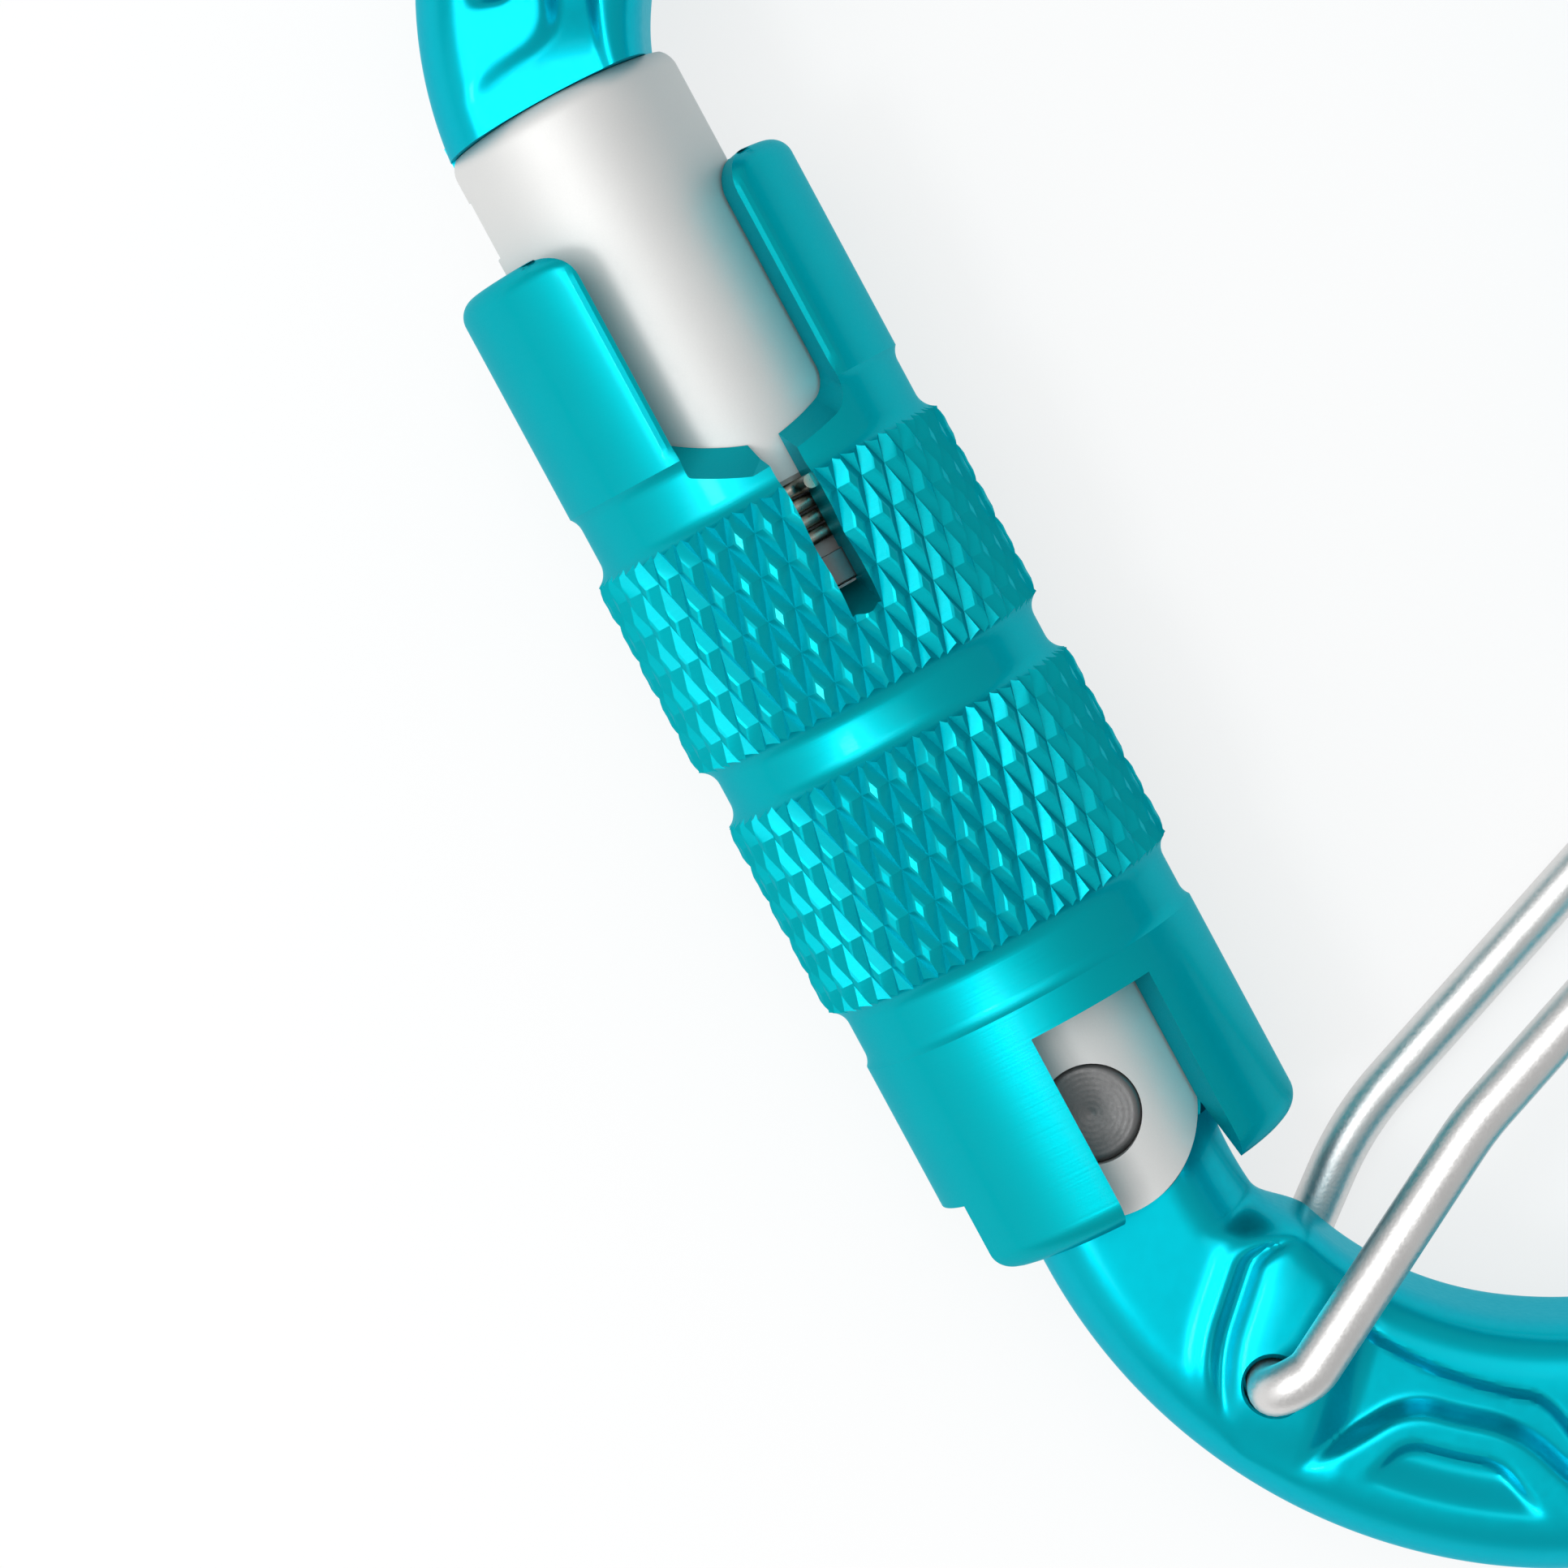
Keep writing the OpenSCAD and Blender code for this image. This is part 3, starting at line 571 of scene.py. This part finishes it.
def finishBody(bm, form, hook):
    away = hook["away"]
    tip = hook["noseTip"]
    underNose = arc(rivetSpot, hook["sweep"], *noseTurns, hook["sweepSteps"]) + [(-away, tip), (away, tip)]
    bm = combine(bm, block(underNose, -away, away), "DIFFERENCE")
    for low, high in ((hook["tabHalf"], away), (-away, -hook["tabHalf"])):  # room for the ears
        bm = combine(bm, rod(rivetSpot, hook["earRoom"], low, high, sides=hook["earSides"]), "DIFFERENCE")
    heelTurn = math.degrees(math.asin((hook["heel"] - rivetRise) / hook["tabRadius"]))
    tab = arc(rivetSpot, hook["tabRadius"], 180 - heelTurn, hook["tabOuterTurn"], 12)
    tab += [(hook["neckOff"] - hook["tabSide"], hook["tabFoot"]),
            (hook["neckOff"] + hook["tabInner"], hook["tabFoot"])]
    tab += arc(rivetSpot, hook["tabRadius"], hook["tabInnerTurn"], heelTurn, 24)
    bm = combine(bm, block(tab, -hook["tabHalf"], hook["tabHalf"]), "UNION")
    for half, out, top in ((hook["noseHalf"], hook["noseOut"], hook["noseRoot"]),
                           (hook["keyHalf"], hook["keyOut"], tip + hook["keyHeight"])):
        key = [(out, tip), (hook["noseIn"], tip), (hook["noseIn"], top), (out, top)]
        bm = combine(bm, block(key, -half, half), "UNION")
    bm = combine(bm, rod(rivetSpot, hook["rivetHole"], -away, away), "DIFFERENCE")
    face = form["half"]
    for side in (1, -1):
        hole = rod(bossForm["pivot"], hook["bailHole"], hook["holeFloor"], face + hook["holeRise"])
        mouth = rod(bossForm["pivot"], hook["mouthLow"], face - hook["mouthDepth"], face + hook["mouthRise"],
                    hook["mouthHigh"])
        for tool in (hole, mouth):
            if side < 0:
                bmesh.ops.scale(tool, vec=(1, 1, -1), verts=tool.verts)
                bmesh.ops.recalc_face_normals(tool, faces=tool.faces)
            bm = combine(bm, tool, "DIFFERENCE")
    return bm


forging = finishBody(makeBody(bodyForm), bodyForm, hookForm)
placePiece(forging, "bodyForging", "frame", bodyFinish, "frame_body")


# Gate

gateForm = {
    "away": 12.0, "radius": 5.0, "top": 46.1, "crown": 45.42, "crownSteps": 96, "edge": 1.0,
    "shoulder": 28.3, "chamfer": 0.2, "waist": 4.05, "waistLow": 23.8,
    "earRadius": 4.25, "earSide": 4.1, "earShoulder": 3.15, "earSteps": 60,
    "forkHalf": 2.2, "forkRoot": 5.75,
    "rivetHole": 2.03, "pocketHalf": 1.2, "pocketTop": 48.1, "keyHalf": 1.5, "keyTop": 44.1,
    "pocketFloor": 41.6, "pocketIn": 3.8, "steps": 160,
}


def makeGate(form):
    away = form["away"]
    radius = form["radius"]
    edge = form["edge"]
    chamfer = form["chamfer"]
    foot = rivetRise - form["earRadius"]
    profile = [(0, foot), (radius, foot), (radius, form["waistLow"]), (form["waist"], form["waistLow"]),
               (form["waist"], form["shoulder"]), (radius - chamfer, form["shoulder"]),
               (radius, form["shoulder"] + chamfer)]
    profile += arc((radius - edge, form["top"] - edge), edge, 0, 90, 12) + [(0, form["top"])]
    bm = spun(profile, form["steps"], closed=False)
    crown = arc(rivetSpot, form["crown"], *noseTurns, form["crownSteps"]) + [(-away, -away), (away, -away)]
    bm = combine(bm, block(crown, -away, away), "INTERSECT")
    side = form["earSide"]
    shoulder = form["earShoulder"]
    sideTurn = math.degrees(math.acos(side / form["earRadius"]))
    ears = [(-side, shoulder)]
    ears += arc(rivetSpot, form["earRadius"], 180 - sideTurn, 360 + sideTurn, form["earSteps"])
    ears += [(side, shoulder), (away, shoulder), (away, -away), (-away, -away), (-away, shoulder)]
    bm = combine(bm, block(ears, -away, away), "DIFFERENCE")
    fork = block([(-away, -away), (away, -away), (away, form["forkRoot"]), (-away, form["forkRoot"])],
                 -form["forkHalf"], form["forkHalf"])
    bm = combine(bm, fork, "DIFFERENCE")
    bm = combine(bm, rod(rivetSpot, form["rivetHole"], -away, away), "DIFFERENCE")
    for half, top in ((form["pocketHalf"], form["pocketTop"]), (form["keyHalf"], form["keyTop"])):
        pocket = block([(-away, form["pocketFloor"]), (form["pocketIn"], form["pocketFloor"]),
                        (form["pocketIn"], top), (-away, top)], -half, half)
        bm = combine(bm, pocket, "DIFFERENCE")
    return bm


placePiece(makeGate(gateForm), "gateBar", "gate", gateFinish, "gate")


# Rivet

rivetForm = {"radius": 2.0, "half": 4.75, "dish": 0.12, "rings": 7, "ringSteps": 4, "ringDepth": 0.003,
             "edge": 0.3, "edgeTurn": 70.0, "steps": 96}


def makeRivet(form):
    face = form["radius"] - form["edge"]
    count = form["rings"] * form["ringSteps"]
    profile = []
    for i in range(count + 1):
        share = i / count
        ripple = form["ringDepth"] * math.cos(fullTurn * form["rings"] * share)
        profile.append((face * share, form["half"] - form["dish"] * (1 - share) ** 2 + ripple))
    profile += arc((face, form["half"] - form["edge"]), form["edge"], form["edgeTurn"], 0, 5)
    mirrored = [(r, -v) for r, v in reversed(profile)]
    bm = spun(profile + mirrored, form["steps"], closed=False)
    bmesh.ops.rotate(bm, cent=(0, 0, 0), matrix=Matrix.Rotation(math.pi / 2, 3, "X"), verts=bm.verts)
    bmesh.ops.translate(bm, vec=(0, rivetRise, 0), verts=bm.verts)
    return bm


placePiece(makeRivet(rivetForm), "hingeRivet", "frame", rivetFinish, "hinge_rivet", sharp=50)


# Sleeve

sleeveForm = {
    "away": 20.0, "bore": 5.1, "flare": 6.6, "flareTop": -0.9, "bottom": -3.6, "lip": 1.0, "lipTurn": -70.0,
    "skirt": 7.4, "skirtTop": 6.0, "neck": 7.2, "fillet": 0.9, "filletSteps": 12,
    "band": 7.95, "bands": (8.8, 19.8), "bandLength": 8.3, "knurlMargin": 0.9,
    "prong": 7.425, "prongFoot": 31.1, "prongTop": 40.75, "prongLip": 0.9, "prongStep": 0.25, "steps": 240,
    "forkTurn": 14.2, "forkHalf": 3.55, "forkOuter": 29.5, "forkInner": 30.4, "forkSlant": 0.7, "mouth": 1.5,
    "forkCorners": (0.15, 0.9), "edgeWidth": 0.55, "edgeDrop": 0.32, "edgeStart": 0.3, "edgeRun": 1.0,
    "slotHalf": 0.65, "slotOuter": 22.6, "slotInner": 23.7, "toolLow": 2.0, "toolHigh": 9.5,
    "windowTurn": 17.9, "windowHalf": 2.75, "windowTop": 4.7,
    "notchTurn": -90.0, "notchHalf": 3.9, "notchTop": -0.4, "ringRoom": 0.05,
}
knurlForm = {"count": 38, "height": 3.3, "top": 7.8, "depth": 0.32, "valley": 0.055, "slope": 0.34,
             "crown": 0.05, "crownSlope": 0.1, "outside": 8.8}


def neckEdge(form, radius, v, way):  # concave turn from the neck to a radius; way is 1 with the neck below
    fillet = form["fillet"]
    steps = form["filletSteps"]
    end = math.acos(1 - (radius - form["neck"]) / fillet)
    points = []
    for i in range(steps + 1):
        t = end * i / steps
        rise = way * fillet * (math.sin(end) - math.sin(t))
        points.append((form["neck"] + fillet * (1 - math.cos(t)), v - rise))
    return points if way > 0 else points[::-1]


def sleeveProfile(form):
    ringLow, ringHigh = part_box("spring_seat_ring")
    ringBottom = (ringLow - datum).y / mm - form["ringRoom"]
    ringTop = (ringHigh - datum).y / mm + form["ringRoom"]
    ringRadius = (ringHigh - datum).x / mm + 2 * form["ringRoom"]
    bore = form["bore"]
    lip = form["lip"]
    prong = form["prong"]
    prongLip = form["prongLip"]
    profile = [(bore, form["flareTop"]), (form["flare"], form["bottom"])]
    profile += arc((form["skirt"] - lip, form["bottom"] + lip), lip, form["lipTurn"], 0, 14)
    profile += neckEdge(form, form["skirt"], form["skirtTop"], -1)
    for low in form["bands"]:
        profile += neckEdge(form, form["band"], low, 1)
        profile += neckEdge(form, form["band"], low + form["bandLength"], -1)
    profile += neckEdge(form, prong, form["prongFoot"], 1)
    straight = form["prongTop"] - prongLip - form["prongFoot"]
    rows = round(straight / form["prongStep"])
    profile += [(prong, form["prongFoot"] + straight * i / rows) for i in range(1, rows)]
    profile += arc((prong - prongLip, form["prongTop"] - prongLip), prongLip, 0, 90, 16)
    profile += [(bore, form["prongTop"]), (bore, ringTop), (ringRadius, ringTop),
                (ringRadius, ringBottom), (bore, ringBottom)]
    return profile


def slopedTool(outline, floor, inner, outer, form, slant=0):  # its floor falls from the bore to the surface
    tool = block(outline, form["toolLow"], form["toolHigh"])
    wall = form["prong"] - form["bore"]
    fall = (outer - inner) / wall
    floorTop = floor + max(form["forkCorners"]) + 0.01
    for vert in tool.verts:
        if vert.co.y < floorTop:
            raised = slant * (form["prong"] - vert.co.z) / wall if vert.co.x < 0 else 0
            vert.co.y += inner + fall * (vert.co.z - form["bore"]) - floor + raised
    bmesh.ops.triangulate(tool, faces=tool.faces)
    return tool


def forkTool(form):
    half = form["forkHalf"]
    mouth = form["mouth"]
    near, far = form["forkCorners"]
    floor = form["forkOuter"]
    shoulder = form["prongTop"] - mouth + 0.02
    above = form["prongTop"] + 2
    outline = arc((-half + near, floor + near), near, 180, 270, 4)
    outline += arc((half - far, floor + far), far, 270, 360, 8)
    outline += arc((half + mouth, shoulder), mouth, 180, 90, 10)
    outline += [(half + mouth, above), (-half - mouth, above)]
    outline += arc((-half - mouth, shoulder), mouth, 90, 0, 10)
    return slopedTool(outline, floor, form["forkInner"], form["forkOuter"], form, form["forkSlant"])


def slotTool(form):
    half = form["slotHalf"]
    floor = form["slotOuter"]
    top = form["prongFoot"]
    outline = [(-half, floor), (half, floor), (half, top), (-half, top)]
    return slopedTool(outline, floor, form["slotInner"], floor, form)


def skirtTool(form, half, top):  # a cut from below, up to a square top
    low = -form["away"]
    return block([(-half, low), (half, low), (half, top), (-half, top)], form["toolLow"], form["away"])


def knurlTool(form, low, high):  # all that lies outside a knurled surface
    step = 360 / form["count"]
    valley = form["top"] - form["depth"] - form["crown"]
    half = form["height"] / 2
    middle = (low + high) / 2
    rows = math.ceil((high - low) / form["height"]) + 1
    bm = bmesh.new()
    for row in range(-rows, rows + 1):
        v = middle + row * half
        turn = step / 2 * (row % 2)
        corners = [(turn - step / 2, v), (turn, v - half), (turn + step / 2, v), (turn, v + half)]
        bm.faces.new([bm.verts.new(aroundGate(valley, t, y)) for t, y in corners])
    teeth = bm.faces[:]
    for width, rise in ((form["valley"], 0), (form["slope"], form["depth"]),
                        (form["crownSlope"], form["crown"])):
        bmesh.ops.inset_individual(bm, faces=teeth, thickness=width, depth=rise, use_even_offset=True)
    others = form["count"] - 1
    bmesh.ops.spin(bm, geom=allOf(bm), cent=(0, 0, 0), axis=gateAxis,
                   angle=fullTurn * others / form["count"], steps=others, use_duplicate=True)
    bmesh.ops.remove_doubles(bm, verts=bm.verts, dist=0.01)
    for v, way in ((low, -1), (high, 1)):
        bmesh.ops.bisect_plane(bm, geom=allOf(bm), plane_co=(0, v, 0), plane_no=(0, way, 0),
                               clear_outer=True)
    grown = bmesh.ops.extrude_edge_only(bm, edges=rimsOf(bm))["geom"]
    for vert in vertsOf(grown):
        out = Vector((vert.co.x, vert.co.z)).normalized() * form["outside"]
        vert.co = (out.x, vert.co.y, out.y)
    bmesh.ops.bridge_loops(bm, edges=edgesOf(grown))
    bmesh.ops.recalc_face_normals(bm, faces=bm.faces)
    return bm


def roundProngs(bm, form):  # lowers the prongs' surface towards the edges of the fork's cut
    mouth = form["mouth"]
    shoulder = form["prongTop"] - mouth
    innermost = form["neck"] - 0.4
    lowest = form["prongFoot"] - 0.2
    for vert in bm.verts:
        radius = math.hypot(vert.co.x, vert.co.z)
        if radius < innermost or vert.co.y < lowest:
            continue
        turn = math.atan2(vert.co.x, vert.co.z) - math.radians(form["forkTurn"])
        past = abs(radius * math.sin(turn)) - form["forkHalf"]
        if vert.co.y > shoulder and past < mouth:
            past = mouth - math.hypot(past - mouth, vert.co.y - shoulder)
        near = max(0, 1 - max(0, past) / form["edgeWidth"])
        drop = form["edgeDrop"] * near * near
        drop *= softStep(vert.co.y, form["prongFoot"] + form["edgeStart"], form["edgeRun"])
        vert.co.x *= 1 - drop / radius
        vert.co.z *= 1 - drop / radius


def makeSleeve(form):
    bm = spun(sleeveProfile(form), form["steps"])
    roundProngs(bm, form)
    for back in (0, 180):
        bm = combine(bm, turnTool(forkTool(form), form["forkTurn"] + back), "DIFFERENCE")
        bm = combine(bm, turnTool(slotTool(form), form["forkTurn"] + back), "DIFFERENCE")
        window = skirtTool(form, form["windowHalf"], form["windowTop"])
        bm = combine(bm, turnTool(window, form["windowTurn"] + back), "DIFFERENCE")
    notch = skirtTool(form, form["notchHalf"], form["notchTop"])
    bm = combine(bm, turnTool(notch, form["notchTurn"]), "DIFFERENCE")
    margin = form["knurlMargin"]
    for low in form["bands"]:
        high = low + form["bandLength"]
        bm = combine(bm, knurlTool(knurlForm, low - margin, high + margin), "DIFFERENCE")
    return bm


placePiece(makeSleeve(sleeveForm), "lockSleeve", "sleeve", sleeveFinish, "lock_sleeve",
           sharp=14)


# Springs

sleeveSpringForm = {"wire": 0.3, "radius": 4.62, "low": 25.45, "turns": 3.75, "pitch": 0.68, "endTurn": 14.2,
                    "tang": 1.5, "tangSteps": 6, "sides": 12, "curlSteps": 48, "pressed": 0.58}
gateSpringForm = {"wire": 0.25, "turns": 8.0, "endTurn": 0.0, "tang": 0, "sides": 10, "curlSteps": 32,
                  "room": 0.03, "stroke": 1.4}


def makeSpring(form):  # a coil about the gate axis, whose top end may turn out into the sleeve's slot
    bm = bmesh.new()
    steps = round(form["turns"] * form["curlSteps"])
    rise = form["pitch"] * form["turns"]
    start = Vector((0, form["low"], form["radius"]))
    bmesh.ops.create_circle(bm, segments=form["sides"], radius=form["wire"], cap_ends=False,
                            matrix=Matrix.Translation(start) @ Matrix.Rotation(math.pi / 2, 4, "Y"))
    last = bmesh.ops.spin(bm, geom=bm.verts[:] + bm.edges[:], cent=(0, 0, 0), axis=gateAxis,
                          angle=fullTurn * form["turns"], steps=steps,
                          dvec=(0, rise / steps, 0))["geom_last"]
    endTurn = math.degrees(fullTurn * form["turns"])
    if form["tang"] > 0:
        corner = aroundGate(form["radius"] + 2 * form["wire"], endTurn, form["low"] + rise)
        bend = bmesh.ops.spin(bm, geom=last, cent=corner, axis=gateAxis, angle=-math.pi / 2,
                              steps=form["tangSteps"])["geom_last"]
        grown = bmesh.ops.extrude_edge_only(bm, edges=edgesOf(bend))["geom"]
        bmesh.ops.translate(bm, vec=aroundGate(form["tang"], endTurn, 0), verts=vertsOf(grown))
    bmesh.ops.holes_fill(bm, edges=rimsOf(bm), sides=0)
    bmesh.ops.recalc_face_normals(bm, faces=bm.faces)
    return turnTool(bm, form["endTurn"] - endTurn)


def placeGateSpring(form):  # fills the CAD spring's room in the gate at one fixed length; the real spring is pressed from below as the gate opens
    low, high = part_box("gate_spring")
    bottom = (low - datum).y / mm
    top = (high - datum).y / mm
    length = top - bottom
    spare = form["wire"] + form["room"]
    form["radius"] = (high - low).x / mm / 2 - spare
    form["low"] = bottom + spare
    form["pitch"] = (length - 2 * spare) / form["turns"]
    coil = makeSpring(form)
    bmesh.ops.translate(coil, vec=(((low + high) / 2 - datum).x / mm, 0, 0), verts=coil.verts)
    piece = placePiece(coil, "gateSpring", "gate", springFinish, "gate_spring", sharp=40)
    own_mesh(piece)


sleeveSpring = placePiece(makeSpring(sleeveSpringForm), "sleeveSpring", "sleeve",
                          springFinish, "sleeve_spring", sharp=40)
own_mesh(sleeveSpring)
placeGateSpring(gateSpringForm)


# Wire bail

bailForm = {
    "wire": 1.025, "pivot": (1.2, -12.4), "leg": 6.45, "pinEnd": 2.9, "sides": 24, "bendSteps": 10,
    "front": [(2.9, -12.3), (13.2, -6.5), (31.4, 0.5)], "back": [(32.1, 2.6), (8.7, -6.3)],
    "radii": [0, 1.2, 1.8, 14, 3, 3, 14, 1.7, 0],  # of the bend at each point, from pin to pin
}


def makeBail(form):
    leg = form["leg"]
    pin = form["pivot"]
    radii = form["radii"]
    route = [(*pin, form["pinEnd"]), (*pin, leg)] + [(*p, leg) for p in form["front"]]
    route += [(*p, -leg) for p in form["back"]] + [(*pin, -leg), (*pin, -form["pinEnd"])]
    points = [Vector(p) for p in route]
    bm = bmesh.new()
    bmesh.ops.create_circle(bm, segments=form["sides"], radius=form["wire"], cap_ends=True,
                            matrix=Matrix.Translation(points[0]))
    rim = bm.verts[:] + bm.edges[:]
    reached = points[0]
    for i in range(1, len(points)):
        into = (points[i] - points[i - 1]).normalized()
        turn = 0
        setBack = 0
        if i + 1 < len(points):
            onward = (points[i + 1] - points[i]).normalized()
            turn = into.angle(onward)
            setBack = radii[i] * math.tan(turn / 2)
        foot = points[i] - into * setBack
        grown = bmesh.ops.extrude_edge_only(bm, edges=edgesOf(rim))["geom"]
        newVerts = vertsOf(grown)
        bmesh.ops.translate(bm, vec=foot - reached, verts=newVerts)
        known = set(newVerts)
        rim = newVerts + [e for e in bm.edges if e.verts[0] in known and e.verts[1] in known]
        reached = foot
        if turn > 0:
            axis = into.cross(onward).normalized()
            centre = foot + axis.cross(into) * radii[i]
            rim = bmesh.ops.spin(bm, geom=rim, cent=centre, axis=axis, angle=turn,
                                 steps=form["bendSteps"])["geom_last"]
            reached = points[i] + onward * setBack
    bmesh.ops.holes_fill(bm, edges=rimsOf(bm), sides=0)
    bmesh.ops.remove_doubles(bm, verts=bm.verts, dist=0.0005)
    bmesh.ops.recalc_face_normals(bm, faces=bm.faces)
    return bm


placePiece(makeBail(bailForm), "wireBail", "bail", bailFinish, "wire_bail", sharp=50)


# Studio

studioForm = {
    "eye": (14.6, 30.6, 218.0), "aim": (-4.93, 17.66, 0.0), "lens": 124.6, "sensor": 36, "roll": 28.4,
    "nearest": 0.01, "world": 0.56, "floorSize": 1.2, "floorColour": 0.9, "floorGlow": 0.75,
    "lamps": [("keyBox", (-170, 25, 362), 0.07, 0.24), ("topBox", (-30, 110, 400), 0.35, 0.31),
              ("broadBox", (-150, 110, 370), 0.32, 0.50), ("leftBox", (-330, 20, 200), 0.4, 0.2)],
}


def makeFloor(form):  # pale, white to the eye and in reflections, and it keeps the shadow
    floorMesh = bpy.data.meshes.new("floor")
    bm = bmesh.new()
    floorLevel = Matrix.Translation((hinge.x, hinge.y, cadBox[0][2]))
    bmesh.ops.create_grid(bm, x_segments=1, y_segments=1, size=form["floorSize"] / 2, matrix=floorLevel)
    bm.to_mesh(floorMesh)
    bm.free()
    floor = bpy.data.objects.new("floor", floorMesh)
    bpy.context.collection.objects.link(floor)
    material = bpy.data.materials.new("paleFloor")
    material.use_nodes = True
    tree = material.node_tree
    tree.nodes.clear()
    diffuse = tree.nodes.new("ShaderNodeBsdfDiffuse")
    diffuse.inputs["Color"].default_value = (*[form["floorColour"]] * 3, 1)
    glow = tree.nodes.new("ShaderNodeEmission")
    rays = tree.nodes.new("ShaderNodeLightPath")
    seen = mathNode(tree, "ADD", rays.outputs["Is Camera Ray"], rays.outputs["Is Glossy Ray"])
    seen = mathNode(tree, "ADD", seen, rays.outputs["Is Transmission Ray"])
    share = mathNode(tree, "MULTIPLY", mathNode(tree, "MINIMUM", seen, 1), form["floorGlow"])
    mix = tree.nodes.new("ShaderNodeMixShader")
    out = tree.nodes.new("ShaderNodeOutputMaterial")
    tree.links.new(share, mix.inputs[0])
    tree.links.new(diffuse.outputs[0], mix.inputs[1])
    tree.links.new(glow.outputs[0], mix.inputs[2])
    tree.links.new(mix.outputs[0], out.inputs["Surface"])
    floorMesh.materials.append(material)


def makeCamera(form):
    camera = bpy.data.objects.new("camera", bpy.data.cameras.new("camera"))
    bpy.context.collection.objects.link(camera)
    eye = toFrame @ Vector(form["eye"])
    aim = toFrame @ Vector(form["aim"])
    forward = (aim - eye).normalized()
    roll = math.radians(form["roll"])
    up = Vector((math.sin(roll), math.cos(roll), 0))
    right = forward.cross(up).normalized()
    up = right.cross(forward)
    camera.matrix_world = Matrix.Translation(eye) @ Matrix((right, up, -forward)).transposed().to_4x4()
    camera.data.sensor_width = form["sensor"]
    camera.data.lens = form["lens"]
    camera.data.clip_start = form["nearest"]
    bpy.context.scene.camera = camera


def makeLight(form):
    world = bpy.data.worlds.new("studioAir")
    bpy.context.scene.world = world
    world.use_nodes = True
    air = world.node_tree.nodes["Background"]
    air.inputs["Color"].default_value = (1, 1, 1, 1)
    air.inputs["Strength"].default_value = form["world"]
    for name, place, size, power in form["lamps"]:
        lamp = bpy.data.objects.new(name, bpy.data.lights.new(name, "AREA"))
        bpy.context.collection.objects.link(lamp)
        lamp.data.size = size
        lamp.data.energy = power
        spot = toFrame @ Vector(place)
        facing = (spot - hinge).to_track_quat("Z", "Y").to_matrix().to_4x4()
        lamp.matrix_world = Matrix.Translation(spot) @ facing


makeFloor(studioForm)
makeCamera(studioForm)
makeLight(studioForm)
bpy.context.scene.view_settings.view_transform = "Standard"
print("studio ready")
